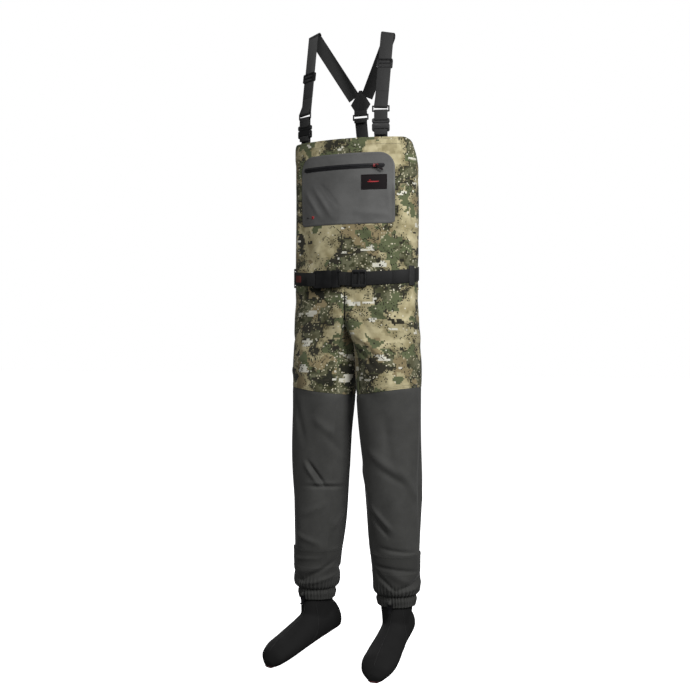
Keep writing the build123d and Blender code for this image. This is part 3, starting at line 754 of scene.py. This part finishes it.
POCKET_FOLDS = (
    (-118, 1400, -40, 1290, 9, 2.4),
    (-96, 1405, -30, 1330, 6, -1.8),
    (-130, 1360, -80, 1290, 8, 1.8),
    (30, 1300, 128, 1285, 12, 1.2),
    (128, 1440, 138, 1300, 8, 1.4),
)


# Panels on the pocket: left, right, low and high edges in mm, heights above the toes
POCKET = (-150, 150, 1262, 1465)
ZIP_TAPE = (-138, 122, 1419, 1433)
LABEL = (52.5, 127.5, 1358.5, 1401.5)
MARKS = (
    ("label_bar", 66, 110, 1379, 1382),
    ("label_dash", 71, 86, 1384, 1386),
    ("badge_bar", -131, -117, 1286, 1288.5),
)
BADGE = (-0.104, 1287)


def rim_distance(edges, across, along):
    """Distance in mm from a panel's nearest edge."""
    left, right, low, high = edges
    return np.minimum(
        np.minimum(across, 1 - across) * (right - left), np.minimum(along, 1 - along) * (high - low)
    )


def make_pocket():
    """The welded chest pocket with its taped zip, label and badge; the zip's slider and pull are made at the
    end of the script.
    """

    def pocket_grow(across, along):
        x = POCKET[0] + across * (POCKET[1] - POCKET[0])
        up = POCKET[2] + along * (POCKET[3] - POCKET[2])
        edge = rim_distance(POCKET, across, along)
        puff = creases(x, up, POCKET_FOLDS) * ease(6, 30, edge) * (1 - ease(1340, 1395, up))
        return (1.5 + np.maximum(puff, -0.6)) * MM - 0.5 * MM * (1 - ease(0, 5, edge)) + 0.35 * MM * (
            ease(1, 2, edge) * (1 - ease(5, 7, edge))
        )

    pocket = panel("pocket_cloth", *POCKET, 150, 100, pocket_grow, corner=45)
    lay(pocket, "pocket_fabric", POCKET_CLOTH, 1.2 * MM, 50, "chest_pocket_panel")

    def zip_grow(_, along):
        off = np.abs(along - 0.5) * (ZIP_TAPE[3] - ZIP_TAPE[2])
        lip = 1.5 * ease(4.2, 2.6, off) * ease(0.1, 0.9, off)
        return (1.75 + 0.35 * ease(7, 6, off) + lip) * MM

    film = panel("zip_film", *ZIP_TAPE, 130, 40, zip_grow, corner=6.9)
    lay(film, "zip_tape", ZIP_FILM, 0.3 * MM, 60, "pocket_zip")

    def label_grow(across, along):
        edge = rim_distance(LABEL, across, along)
        return (1.6 + 1.3 * ease(0, 1, edge) - 0.45 * ease(2.2, 2.8, edge)) * MM

    label = panel("label_plate", *LABEL, 80, 60, label_grow)
    lay(label, "label_rubber", SOFT_PVC, 1.2 * MM, 50, "label_patch")

    for name, left, right, low, high in MARKS:
        base = 2.55 if name.startswith("label") else 1.5
        bar = panel(
            name, left, right, low, high, 24, 6,
            lambda across, _, base=base: (base + 0.7 * ease(0, 0.15, np.minimum(across, 1 - across))) * MM,
            corner=(high - low) / 2 - 0.1,
        )
        lay(bar, "label_rubber", RED_PVC if name.startswith("label") else SOFT_PVC, 0.6 * MM, 50)

    run = np.array([BADGE[0]])
    spot = on_torso(run, np.array([height(BADGE[1])]), np.array([1.7 * MM]))[0]
    _, _, nx, ny = oval(run, HALF_WIDTH, HALF_DEPTH, SIDE_RADIUS)
    turn = (pi / 2, 0, float(atan2(nx[0], -ny[0])))
    for name, radius, finish_ in (("badge_ring", 4.6, RED_PVC), ("badge_dot", 1.9, SOFT_PVC)):
        bpy.ops.mesh.primitive_uv_sphere_add(
            segments=24, ring_count=10, radius=1, location=spot, rotation=turn
        )
        dot = bpy.context.object
        dot.name = name
        dot.scale = (radius * MM, radius * MM, (1.1 if name == "badge_ring" else 1.9) * MM)
        bpy.ops.object.transform_apply(location=True, rotation=True, scale=True)
        smooth(dot)
        dress(dot, "label_rubber", finish_)
        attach(dot, "root")


# --------------------------------------------------------------------------------------- seat and upper legs


def hip_reach(turn, level, middle_x):
    """Distance from a leg's middle to the hips' oval in each direction, at each height."""
    reach = np.empty_like(turn)
    for value in np.unique(level):
        row = level == value
        wide, deep, side = (along_table(HIPS, column, np.array([value]))[0] * MM for column in (1, 2, 3))
        run = np.linspace(-0.5, 0.5, 900) * girth(wide, deep, side)
        x, y, _, _ = oval(run, wide, deep, side)
        dx, dy = x - middle_x[row][0], y - LEG_Y
        order = np.argsort(np.arctan2(dy, dx))
        angle, away = np.arctan2(dy, dx)[order], np.hypot(dx, dy)[order]
        angle, away = np.r_[angle - 2 * pi, angle, angle + 2 * pi], np.r_[away, away, away]
        reach[row] = np.interp(turn[row], angle, away)
    return reach


SEAT_FOLDS = {
    "left": (
        (20, 1060, 60, 960, 9, -3.2),
        (60, 1040, 150, 985, 8, 2.6),
        (28, 940, 96, 880, 8, 3.2),
        (10, 905, 70, 850, 7, -2.6),
        (150, 1000, 205, 930, 10, 2.8),
        (120, 905, 200, 850, 9, 2.6),
        (330, 1010, 250, 930, 12, 3.0),
        (400, 960, 330, 880, 11, -3.0),
        (300, 880, 380, 820, 10, 2.6),
        (230, 1040, 236, 860, 9, -2.4),
    ),
    "right": (
        (24, 1050, 70, 950, 9, -2.8),
        (70, 1030, 140, 1000, 7, 2.4),
        (40, 930, 110, 860, 9, 2.8),
        (140, 980, 200, 920, 10, -2.6),
        (110, 880, 190, 836, 8, 2.4),
        (340, 1000, 260, 920, 12, 3.0),
        (395, 940, 320, 870, 10, -2.8),
        (225, 1030, 232, 850, 9, -2.2),
    ),
}
SEAT_WAVES = ((150, 520, 0.9, 1.5), (88, -330, 0.2, 0.9), (210, 240, 2.0, 0.9))


def hem_level(outwards):
    """Height above the toes of the hem between the printed and the plain cloth, highest on the outside."""
    return HEM + HEM_SWAY * outwards


def leg_section(turn, level):
    """Middle x and reach of a leg's ellipse in each direction, in metres, for the wearer's left leg."""
    middle, wide, deep = (along_table(LEG, column, level) * MM for column in (1, 2, 3))
    return middle, wide * deep / np.hypot(deep * np.cos(turn), wide * np.sin(turn))


def seat_shape(turn, level):
    """Middle x and reach of half the seat, which turns from half an oval into a leg's ellipse."""
    middle, leg = leg_section(turn, level)
    hips = hip_reach(turn, level, middle)
    inwards = -np.cos(turn)
    centre_plane = np.where(inwards > 0.02, middle / np.maximum(inwards, 0.02), 9.0)
    sharp = 9 + 14 * ease(930, 1060, level) + 50 * ease(1064, 1080, level)
    half = (hips**-sharp + np.minimum(centre_plane, 9.0) ** -sharp) ** (-1 / sharp)
    legs = ease(1005, CROTCH, level)
    return middle, half * (1 - legs) + leg * legs


def round_leg(side, middle, reach, turn, level):
    """Points round a leg's middle at a reach in each direction, in metres, at levels in mm."""
    return np.stack(
        [side * (middle + reach * np.cos(turn)), LEG_Y + reach * np.sin(turn), TOE_Z + level * MM], 1
    )


def make_seat(name, side):
    """Half of the printed seat with its upper leg, from the waist seam to the curved hem."""

    def drape(across, along):
        top = 1092
        turn = SEAM_TURN + across * 2 * pi
        low = hem_level(np.cos(turn))
        level = np.round(low + along * (top - low), 3)
        middle, reach = seat_shape(turn, np.round(level / 2) * 2)
        inner = 0.6 * MM * ease(1074, 1080, level)
        x, y = middle + reach * np.cos(turn), LEG_Y + reach * np.sin(turn)
        order = np.lexsort((across, np.round(along, 6)))
        rows = int(round(len(along) / len(np.unique(np.round(across, 6)))))
        run = np.empty_like(x)
        grid = order.reshape(rows, -1)
        steps = np.hypot(np.diff(x[grid], axis=1), np.diff(y[grid], axis=1))
        run[grid] = np.c_[np.zeros(rows), np.cumsum(steps, axis=1)]
        folds = creases(run / MM, level, SEAT_FOLDS[name])
        relief = 1.3 * folds + ripple(run / MM * side, level, *SEAT_WAVES)
        calm = ease(1078, 1040, level) * ease(4, 26, x / MM) * ease(0, 20, level - low)
        out = relief * MM * calm - inner
        x = np.where(level > CROTCH, np.where(x < 1.6 * MM, 0, x), x) + out * np.cos(turn)
        y = y + out * np.sin(turn)
        return np.stack([side * x, y, TOE_Z + level * MM], 1), np.stack([side * run, level * MM], 1)

    seat = cloth(f"seat_cloth_{name}", 200, 110, drape)
    middle_wall = points(seat)
    inside = {i for i, p in enumerate(middle_wall) if abs(p[0]) < 0.3 * MM and p[2] > height(CROTCH)}
    only(seat)
    shaped = bmesh.new()
    shaped.from_mesh(seat.data)
    doomed = [f for f in shaped.faces if all(v.index in inside for v in f.verts)]
    bmesh.ops.delete(shaped, geom=doomed, context="FACES")
    shaped.to_mesh(seat.data)
    shaped.free()
    close_seam(seat)
    face_out(seat, leg_middle(side))
    dress(seat, "camo_fabric", PRINTED, LINING)
    thicken(seat, CLOTH, lined=True)
    smooth(seat, 70)
    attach(seat, "root")
    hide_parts(f"seat_{name}")

    turn = np.linspace(0, 2 * pi, 320)
    out = np.stack([side * np.cos(turn), np.sin(turn), 0 * turn], 1)
    for number, rise in enumerate((4, 9)):
        level = hem_level(np.cos(turn)) + rise
        middle, reach = leg_section(turn, level)
        reach = reach + 0.2 * MM
        path = round_leg(side, middle, reach, turn, level)
        stitch_row(f"hem_stitches_{name}_{number + 1}", path, out, GREY_THREAD, "root")


# Tape over the centre seam: half its width, how far in from the seam, and the levels it runs between
TAPE_HALF_WIDTH = 9 * MM
TAPE_INSET = 3 * MM
TAPE_LEVELS = (890, 1084)


def groove_depth(turn, level):
    """y of the seat's cloth where the two halves meet, searched along these directions."""
    middle, reach = seat_shape(turn, np.full_like(turn, level))
    x = middle + reach * np.cos(turn)
    y = LEG_Y + reach * np.sin(turn)
    return y[np.argmax(x < max(1.8 * MM, x.min() + 0.2 * MM))]


def make_crotch_tape():
    """Heat tape over the inside of the centre seam, down the front, under the crotch and up the back."""
    levels = np.linspace(TAPE_LEVELS[1], TAPE_LEVELS[0], 40)
    front = np.array([groove_depth(np.linspace(-pi / 2, -pi, 300), level) for level in levels])
    back = np.array([groove_depth(np.linspace(pi / 2, pi, 300), level) for level in levels[::-1]])
    path_y = np.r_[front + TAPE_INSET, back - TAPE_INSET]
    path_z = TOE_Z + np.r_[levels, levels[::-1]] * MM

    def drape(across, along):
        at = along * (len(path_y) - 1)
        x = (2 * across - 1) * TAPE_HALF_WIDTH
        steps = np.arange(len(path_y))
        where = np.stack([x, np.interp(at, steps, path_y), np.interp(at, steps, path_z)], 1)
        return where, np.stack([x, at * 5 * MM], 1)

    tape = cloth("crotch_tape", 6, 120, drape)
    lay(tape, "lining", LINING, 0.6 * MM, 60, "centre_seam_tape")


# ---------------------------------------------------------------------------------------- legs, guards, cuffs

LEG_FOLDS = {
    "right": (
        (74, 570, 26, 512, 6, -4.6),
        (86, 566, 44, 512, 7, 3.2),
        (70, 504, -40, 502, 5, -2.4),
        (66, 514, -20, 511, 6, 1.6),
        (10, 660, 60, 700, 13, 2.6),
        (-30, 600, 20, 650, 12, -2.2),
        (100, 640, 130, 740, 12, -2.4),
        (90, 420, 20, 450, 11, 1.8),
        (120, 360, 40, 336, 9, 2.2),
        (-60, 430, -20, 380, 10, 2.4),
        (300, 596, 430, 566, 12, 4.4),
        (300, 562, 430, 540, 9, -4.0),
        (290, 650, 420, 606, 12, 3.2),
        (200, 700, 215, 420, 12, -2.4),
        (260, 480, 330, 440, 12, 2.4),
    ),
    "left": (
        (20, 437, 76, 380, 7, -4.0),
        (34, 448, 92, 394, 8, 3.2),
        (40, 610, 120, 550, 13, 2.8),
        (70, 560, 140, 520, 10, -2.2),
        (90, 700, 100, 580, 14, -2.2),
        (130, 560, 190, 480, 12, 2.6),
        (60, 336, 170, 322, 6, -2.6),
        (-40, 560, 10, 500, 12, 2.4),
        (300, 606, 430, 576, 12, 4.4),
        (300, 572, 430, 550, 9, -4.0),
        (290, 656, 420, 616, 12, 3.2),
        (210, 700, 214, 420, 12, -2.4),
        (260, 470, 330, 430, 12, 2.4),
    ),
}
# Pitches across go a whole number of times into the leg's girth, so that the unevenness meets at the seam
LEG_WAVES = ((184.3, 620, 0.5, 1.6), (110.6, -410, 1.1, 0.9), (79.0, 300, 2.6, 0.5))
GUARD_FOLDS = {
    "right": (
        (140, 244, 78, 226, 7, -3.2),
        (74, 224, -30, 282, 7, -3.4),
        (90, 250, 0, 262, 10, 2.4),
        (60, 214, -40, 240, 7, 3.0),
        (30, 292, 120, 286, 6, 1.4),
        (250, 262, 330, 222, 9, 3.2),
        (330, 240, 400, 270, 8, -2.8),
        (180, 280, 220, 226, 9, 2.6),
    ),
    "left": (
        (20, 264, 74, 216, 7, -3.6),
        (78, 214, 178, 252, 7, -3.4),
        (40, 240, 80, 204, 7, 3.0),
        (100, 206, 180, 232, 7, 3.0),
        (24, 284, 150, 268, 6, -2.4),
        (70, 262, 120, 240, 12, 2.6),
        (250, 262, 330, 222, 9, 3.2),
        (330, 240, 400, 270, 8, -2.8),
    ),
}


def make_leg(name, side):
    """The plain leg from the hem over the knee to the guard."""
    low = GUARD_TOP - 7

    def drape(across, along):
        turn = SEAM_TURN + across * 2 * pi
        high = hem_level(np.cos(turn)) + 8
        level = low + along * (high - low)
        middle, reach = leg_section(turn, level)
        run = across * 2 * pi * LEG_REACH
        folds = creases(run, level, LEG_FOLDS[name], 2 * pi * LEG_REACH)
        relief = 1.7 * folds + 1.5 * ripple(run * side, level, *LEG_WAVES)
        calm = ease(0, 26, high - level) * ease(0, 22, level - low)
        outseam = 0.8 * ease(7.0, 5.0, np.abs(run - OUTSEAM))
        tucked = 1.0 * ease(16, 6, high - level) + 1.3 * ease(12, 2, level - low)
        reach = reach + (relief * calm + outseam - tucked) * MM
        where = round_leg(side, middle, reach, turn, level)
        return where, np.stack([side * run * MM, level * MM], 1)

    leg = cloth(f"leg_cloth_{name}", 150, 130, drape)
    close_seam(leg)
    face_out(leg, leg_middle(side))
    dress(leg, "grey_fabric", LEG_CLOTH, LINING)
    thicken(leg, CLOTH, lined=True)
    smooth(leg, 60)
    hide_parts(f"thigh_{name}", f"knee_{name}", f"shin_{name}")
    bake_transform(leg)


def gather(turn):
    """Uneven elastic gathers round a cuff, from 0 to 1."""
    return np.abs(np.sin(turn * GATHERS / 2 + 0.35 * np.sin(turn * 5) + 0.2 * np.sin(turn * 11 + 1)))


def make_guard(name, side):
    """The gravel guard, which puffs out over its elastic cuff."""
    profile = (
        (197, 0, 55.0), (200, 0, 59.5), (204, 0, 63.5), (211, 0, 66.5), (228, 0, 68.5),
        (250, 0, 69.5), (280, 0, 71.0), (311, 0, 73.0), (317, 0, 73.6),
    )

    def drape(across, along):
        turn = SEAM_TURN + across * 2 * pi
        level = GUARD_LOW + along * (GUARD_HIGH - GUARD_LOW)
        foot_of_leg = LEG[-1][0]
        middle = along_table(LEG, 1, np.maximum(level, foot_of_leg)) * MM
        drawn_in = CUFF_X - (CUFF_X - middle) * ease(200, foot_of_leg, level)
        middle = np.where(level < foot_of_leg, drawn_in, middle)
        reach = along_table(profile, 2, level)
        run = across * 2 * pi * GUARD_REACH
        folds = creases(run, level, GUARD_FOLDS[name], 2 * pi * GUARD_REACH)
        relief = 1.6 * folds * ease(204, 222, level) * (1 - ease(292, 309, level))
        sway = 5 * np.sin(turn * 3 + 0.8) + 3 * np.sin(turn * 7)
        pull = (4.2 * gather(turn) - 2.4) * ease(244 + sway, 205, level)
        seam = 0.7 * (np.exp(-(((level - 312) / 1.6) ** 2)) + np.exp(-(((level - 262) / 1.4) ** 2)))
        reach = (reach + relief + pull + seam) * MM
        where = round_leg(side, middle, reach, turn, level)
        return where, np.stack([side * run * MM, level * MM], 1)

    guard = cloth(f"guard_cloth_{name}", 228, 60, drape)
    close_seam(guard)
    face_out(guard, leg_middle(side))
    # The guard's nylon is the legs' nylon darkened with painted shade
    dress(guard, "grey_fabric", SHADED_GUARD_NYLON, LINING)
    thicken(guard, 1.2 * MM, lined=True)
    smooth(guard, 60)
    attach(guard, f"shin_{name}")
    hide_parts(f"gravel_guard_{name}")
    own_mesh(guard)


def make_cuff(name, side):
    """The gathered elastic cuff at the guard's lower end."""
    low, high = CUFF

    def drape(across, along):
        turn = SEAM_TURN + across * 2 * pi
        level = low + along * (high + 2 - low)
        bow = np.sin(np.clip(along, 0, 1) * pi) ** 0.5
        rows = np.cos((along - 0.5) * 4 * pi)
        ruffle = 1 + 0.35 * np.sin(turn * 4 + 0.6) + 0.25 * np.sin(turn * 9 + 2)
        reach = 50.5 + 3.8 * bow + (1.2 + 2.3 * bow) * gather(turn) * ruffle + 0.5 * rows
        reach *= MM
        level = level + 2.2 * (ruffle - 1) * (along - 0.5)
        where = round_leg(side, CUFF_X, reach, turn, level)
        run = across * 2 * pi * 56 * MM
        return where, np.stack([side * run, level * MM], 1)

    cuff = cloth(f"elastic_cuff_{name}", 304, 28, drape)
    close_seam(cuff)
    face_out(cuff, lambda where: where * (0, 0, 1) + (side * CUFF_X, LEG_Y, 0))
    # The cuff takes the guard's nylon, darkened with painted shade
    dress(cuff, "grey_fabric", SHADED_GUARD_NYLON)
    thicken(cuff, 2.2 * MM)
    smooth(cuff, 60)
    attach(cuff, f"guard_hem_{name}")
    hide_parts(f"guard_hem_{name}")


# The lace hook's bar and the tab folded round it, in mm from the cuff's middle and above the toes
HOOK_RADIUS = 60.1
HOOK_LEVEL = 178
TAB_WIDTH = 8
TAB_LOOP = 2.45
TAB_TOP = (2.4, 9)


def make_hook_tab(name, side):
    """The short tab that is sewn to the cuff and folded round the lace hook's bar."""
    turn = FOOT_TURN[name]
    sweep = np.radians(np.linspace(0, -180, 15))
    profile = [TAB_TOP, (TAB_LOOP, 4)]
    profile += [(TAB_LOOP * cos(bend), TAB_LOOP * sin(bend)) for bend in sweep]
    profile += [(-TAB_LOOP, 2.5), (-0.4, 6), (1.1, 9)]
    inwards, rise = np.array(profile).T

    def drape(across, along):
        at = along * (len(inwards) - 1)
        steps = np.arange(len(inwards))
        x = (across - 0.5) * TAB_WIDTH
        y = np.interp(at, steps, inwards) - HOOK_RADIUS
        level = HOOK_LEVEL + np.interp(at, steps, rise)
        where_x = side * CUFF_X / MM + x * cos(turn) - y * sin(turn)
        where_y = LEG_Y / MM + x * sin(turn) + y * cos(turn)
        where = np.stack([where_x, where_y, TOE_Z / MM + level], 1)
        return where * MM, np.stack([x, at], 1) * MM

    tab = cloth(f"hook_tab_{name}", 6, 60, drape)
    dress(tab, "grey_fabric", LEG_CLOTH)
    apply_modifier(tab, "SOLIDIFY", thickness=0.9 * MM, offset=0)
    smooth(tab, 60)
    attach(tab, f"guard_hem_{name}")


# ------------------------------------------------------------------------------------------------------ socks

# Sections of the foot, from heel to toe, and of the shaft, upwards: place, half width, half height or depth
FOOT = (
    (-74, 14, 22), (-64, 29, 40), (-34, 38, 52), (20, 40, 50), (80, 44, 42), (140, 50, 34),
    (190, 47, 28), (214, 34, 21), (226, 16, 12),
)
SHAFT = ((-45, 36, 52), (-10, 41, 53), (25, 46, 49), (65, 46.5, 48), (110, 47, 47.5), (164, 47, 47))
SOLE_CENTRE = 97
# Flat seams of a sock through points about the ankle's pivot, in mm: round the instep, and up the heel
SOCK_SEAMS = (
    ((-30, -38, 60), (-34, -40, 20), (-40, -30, -30), (-44, -40, -70), (-46, -60, -100)),
    ((30, -38, 60), (34, -40, 20), (40, -30, -30), (44, -40, -70), (46, -60, -100)),
    ((0, -60, 10), (0, -80, -12), (0, -130, -50), (0, -200, -95)),
    ((0, 60, 60), (0, 60, 0), (0, 70, -60), (0, 66, -78)),
)


def make_sock(name, side):
    """One neoprene sock: foot and shaft grown into one form, open at the top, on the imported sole."""
    tilt_cos, tilt_sin = cos(FOOT_TILT), sin(FOOT_TILT)

    def place(where):
        turn = FOOT_TURN[name]
        x, y = where[:, 0], where[:, 1]
        turned = np.stack([x * cos(turn) - y * sin(turn), x * sin(turn) + y * cos(turn), where[:, 2]], 1)
        return turned * MM + (side * CUFF_X, ANKLE.y, ANKLE.z)

    def foot(across, along):
        forward = FOOT[0][0] + along * (FOOT[-1][0] - FOOT[0][0])
        wide, tall = (along_table(FOOT, column, forward) for column in (1, 2))
        turn = across * 2 * pi
        x, up = wide * np.cos(turn), tall * np.sin(turn) + tall - SOLE_CENTRE
        where = np.stack([x, -forward * tilt_cos - up * tilt_sin, -forward * tilt_sin + up * tilt_cos], 1)
        return place(where), np.stack([across, along], 1)

    def shaft(across, along):
        level = SHAFT[0][0] + along * (SHAFT[-1][0] - SHAFT[0][0])
        wide, deep = (along_table(SHAFT, column, level) for column in (1, 2))
        turn = across * 2 * pi
        where = np.stack([wide * np.cos(turn), deep * np.sin(turn), level], 1)
        return place(where), np.stack([across, along], 1)

    parts = [cloth(f"sock_{name}", 48, 60, foot), cloth("shaft", 48, 40, shaft)]
    for part in parts:
        close_seam(part)
        only(part)
        bpy.ops.object.mode_set(mode="EDIT")
        bpy.ops.mesh.select_all(action="DESELECT")
        bpy.ops.mesh.select_non_manifold()
        bpy.ops.mesh.edge_face_add()
        bpy.ops.mesh.select_all(action="SELECT")
        bpy.ops.mesh.normals_make_consistent(inside=False)
        bpy.ops.object.mode_set(mode="OBJECT")
    only(parts[1])
    parts[0].select_set(True)
    bpy.context.view_layer.objects.active = parts[0]
    bpy.ops.object.join()
    sock = parts[0]
    apply_modifier(sock, "REMESH", mode="VOXEL", voxel_size=3.2 * MM)
    apply_modifier(sock, "SMOOTH", factor=0.5, iterations=14)
    turn = FOOT_TURN[name]
    pivot = Vector((side * CUFF_X, ANKLE.y, ANKLE.z))
    up = Vector((sin(turn) * tilt_sin, -cos(turn) * tilt_sin, tilt_cos))
    only(sock)
    bpy.ops.object.mode_set(mode="EDIT")
    bpy.ops.mesh.select_all(action="SELECT")
    bpy.ops.mesh.bisect(plane_co=(0, 0, height(SOCK_TOP)), plane_no=(0, 0, 1), clear_outer=True)
    bpy.ops.mesh.select_all(action="SELECT")
    bpy.ops.mesh.bisect(plane_co=pivot - up * SOLE_DEPTH, plane_no=up, clear_inner=True)
    bpy.ops.object.mode_set(mode="OBJECT")
    dress(sock, "neoprene", NEOPRENE)

    edge = sock.copy()
    edge.data = sock.data.copy()
    edge.name = f"sole_piping_{name}"
    bpy.context.scene.collection.objects.link(edge)
    shaped = bmesh.new()
    shaped.from_mesh(edge.data)
    bmesh.ops.delete(shaped, geom=[e for e in shaped.edges if not e.is_boundary], context="EDGES_FACES")
    upper = [v for v in shaped.verts if v.co.z > height(120) or not v.link_edges]
    bmesh.ops.delete(shaped, geom=upper, context="VERTS")
    shaped.to_mesh(edge.data)
    shaped.free()
    only(edge)
    bpy.ops.object.convert(target="CURVE")
    edge.data.bevel_depth = 1.3 * MM
    edge.data.bevel_resolution = 2
    bpy.ops.object.convert(target="MESH")
    edge = bpy.context.object
    smooth(edge)
    dress(edge, "neoprene", RED_PIPING)
    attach(edge, f"foot_{name}")

    tree = BVHTree.FromObject(sock, bpy.context.evaluated_depsgraph_get())
    for number, route in enumerate(SOCK_SEAMS):
        ways = np.array(route, float)
        along = np.linspace(0, len(ways) - 1, 90)
        local = np.stack([np.interp(along, np.arange(len(ways)), ways[:, i]) for i in range(3)], 1)
        hits = [tree.find_nearest(Vector(spot)) for spot in place(local)]
        seam = stitch_row(
            f"sock_seam_{name}_{number + 1}", [hit[0] for hit in hits], [hit[1] for hit in hits], SEAM_THREAD,
            None, long=4.4 * MM, pitch=3.6 * MM, thick=0.8 * MM,
        )
        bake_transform(seam)

    thicken(sock, 3 * MM)
    smooth(sock, 60)
    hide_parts(f"sock_shaft_{name}", f"sock_ankle_{name}", f"sock_foot_{name}")
    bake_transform(sock)
    finish_node(f"sock_sole_{name}", SOLE)


# ------------------------------------------------------------------------------------- webbing and hardware


def copy_of(node, name):
    """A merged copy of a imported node, to be finished by hand."""
    piece = frame["nodes"][node].copy()
    piece.data = piece.data.copy()
    piece.name = piece.data.name = name
    piece.parent = None
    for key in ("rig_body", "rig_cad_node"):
        if key in piece:
            del piece[key]
    bpy.context.scene.collection.objects.link(piece)
    edit(piece, lambda: bpy.ops.mesh.remove_doubles(threshold=0.00001))
    edit(piece, lambda: bpy.ops.mesh.dissolve_limited(angle_limit=radians(2)))
    return piece


def node_body(node):
    """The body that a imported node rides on."""
    return next(body for body, nodes in frame["record"]["behaviour"]["bodies"].items() if node in nodes)


def moulded(node, edge, slot, surface):
    """A moulded or cast piece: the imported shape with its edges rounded."""
    piece = copy_of(node, f"{node}_moulded")
    apply_modifier(piece, "BEVEL", width=edge, segments=3, angle_limit=radians(35), harden_normals=False)
    smooth(piece, 40)
    dress(piece, slot, surface)
    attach(piece, node_body(node))
    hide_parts(node)
    return piece


def woven(node, across, surface, squash=None, slot="webbing"):
    """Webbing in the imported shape, with soft edges and a weave along it; across is its width's direction."""
    piece = copy_of(node, f"{node}_woven")
    apply_modifier(piece, "BEVEL", width=0.5 * MM, segments=2, angle_limit=radians(50))
    where = points(piece)
    wide = Vector(across).normalized()
    if node.startswith("belt"):
        middle = frame_arc_middle()
        angle = np.arctan2(where[:, 0], -(where[:, 1] - middle))
        flat = np.stack([where[:, 2] - BELT_TILT * where[:, 1], angle * 0.38], 1)
    else:
        flat = np.stack([where @ np.array(wide), where[:, 2] - 0.5 * where[:, 1]], 1)
    set_flat(piece, flat)
    smooth(piece, 45)
    dress(piece, slot, surface)
    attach(piece, node_body(node))
    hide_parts(node)
    if squash:
        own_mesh(piece)
    return piece


def frame_arc_middle():
    """y of the centre of the torso's front arc."""
    reach = HALF_WIDTH - SIDE_RADIUS
    broad = (reach**2 + HALF_DEPTH**2 - SIDE_RADIUS**2) / (2 * (HALF_DEPTH - SIDE_RADIUS))
    return TORSO_Y - HALF_DEPTH + broad


# The red ribbon sewn over the belt's end: where it starts round the torso, its length and its width
RIBBON_START = -0.178
RIBBON_LENGTH = 0.026
RIBBON_WIDTH = 0.020


def make_belt():
    """The waist belt with its side-release buckle, slide, loops and ribbon end."""
    belt_x = (1, 0, 0)
    slack_low, slack_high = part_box("belt_slack")
    woven("belt_main", belt_x, BELT_WEBBING)
    anchor = (slack_high.x, slack_low.y, slack_low.z)
    slackened = ("belt_release", joint_axis("belt_release"), anchor, BELT_SLACKENED)
    woven("belt_slack", belt_x, BELT_WEBBING, slackened)
    woven("belt_fold_left", belt_x, BELT_WEBBING)
    woven("belt_loops", belt_x, STRAP_WEBBING)
    for node in ("belt_buckle_socket", "belt_buckle_plug", "belt_slide"):
        moulded(node, 0.9 * MM, "buckle_plastic", ACETAL)
    for node in ("belt_prong_upper", "belt_prong_lower"):
        moulded(node, 0.6 * MM, "buckle_plastic", ACETAL)

    def ribbon(across, along):
        run = RIBBON_START + RIBBON_LENGTH * across
        x, y, nx, ny = oval(run, HALF_WIDTH, HALF_DEPTH, SIDE_RADIUS)
        z = belt_height(y) + (along - 0.5) * RIBBON_WIDTH
        return np.stack([x + nx * 2.9 * MM, y + ny * 2.9 * MM, z], 1), np.stack([run, z], 1)

    end = cloth("belt_ribbon", 12, 8, ribbon)
    lay(end, "webbing", RED_RIBBON, 0.5 * MM, 50)


# What is left of a strap's lower fold when its buckle is out, and of its upper fold when its slide is down
RELEASED = 0.715
TAKEN_UP = {"left": 0.5, "right": 0.33}
BELT_SLACKENED = 0.783


def joint_axis(name):
    """A joint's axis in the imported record."""
    joints = frame["record"]["behaviour"]["joints"]
    return Vector(next(joint["axis"] for joint in joints if joint["name"] == name))


def middle_at(node, level):
    """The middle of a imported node's box, at one of the box's ends: 0 is its low end and 1 its high end."""
    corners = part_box(node)
    middle = (corners[0] + corners[1]) / 2
    return (middle.x, middle.y, corners[level].z)


def finish_node(node, surface):
    """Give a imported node, shown as it is, its material."""
    materials = frame["nodes"][node].data.materials
    materials.clear()
    materials.append(surface)


def make_suspender(name):
    """One shoulder strap with its tab, buckle, ring and slide, and the lace hook of the same side."""
    ring_x, ring_y, _ = middle_at(f"strap_ring_{name}", 0)
    across = (frame_arc_middle() - ring_y, ring_x, 0)
    slope = joint_axis(f"strap_adjust_{name}")
    released = (f"strap_release_{name}", (0, 0, 1), middle_at(f"strap_lower_{name}", 1), RELEASED)
    taken_up = (f"strap_adjust_{name}", slope, middle_at(f"strap_fold_{name}", 0), TAKEN_UP[name])
    for part, folding in (
        ("bib_tab", None), ("strap_link", None), ("strap_upper", None),
        ("strap_lower", released), ("strap_fold", taken_up),
    ):
        woven(f"{part}_{name}", across, STRAP_WEBBING, folding)
    for part in ("strap_socket", "strap_plug", "strap_adjuster"):
        moulded(f"{part}_{name}", 0.7 * MM, "buckle_plastic", ACETAL)
    finish_node(f"strap_ring_{name}", ACETAL)
    moulded(f"lace_hook_{name}", 0.5 * MM, "hook_metal", HOOK_STEEL)


def make_back():
    """The crossing patch, ring and webbing behind the neck."""
    woven("crossing_patch", (1, 0, 0), STRAP_WEBBING, slot="patch_fabric")
    woven("back_webbing", (1, 0, 0), STRAP_WEBBING)
    finish_node("back_ring", ACETAL)


make_bib()
make_pocket()
for SIDE_NAME, SIDE in SIDES.items():
    make_seat(SIDE_NAME, SIDE)
    make_leg(SIDE_NAME, SIDE)
    make_guard(SIDE_NAME, SIDE)
    make_cuff(SIDE_NAME, SIDE)
    make_sock(SIDE_NAME, SIDE)
    make_hook_tab(SIDE_NAME, SIDE)
    make_suspender(SIDE_NAME)
make_crotch_tape()
make_belt()
make_back()
moulded("zip_slider", 0.8 * MM, "zip_metal", RED_ZINC)
moulded("zip_pull", 0.5 * MM, "pull_cord", SOFT_PVC)
finish_node("rim_facing", LINING)

bpy.context.view_layer.update()
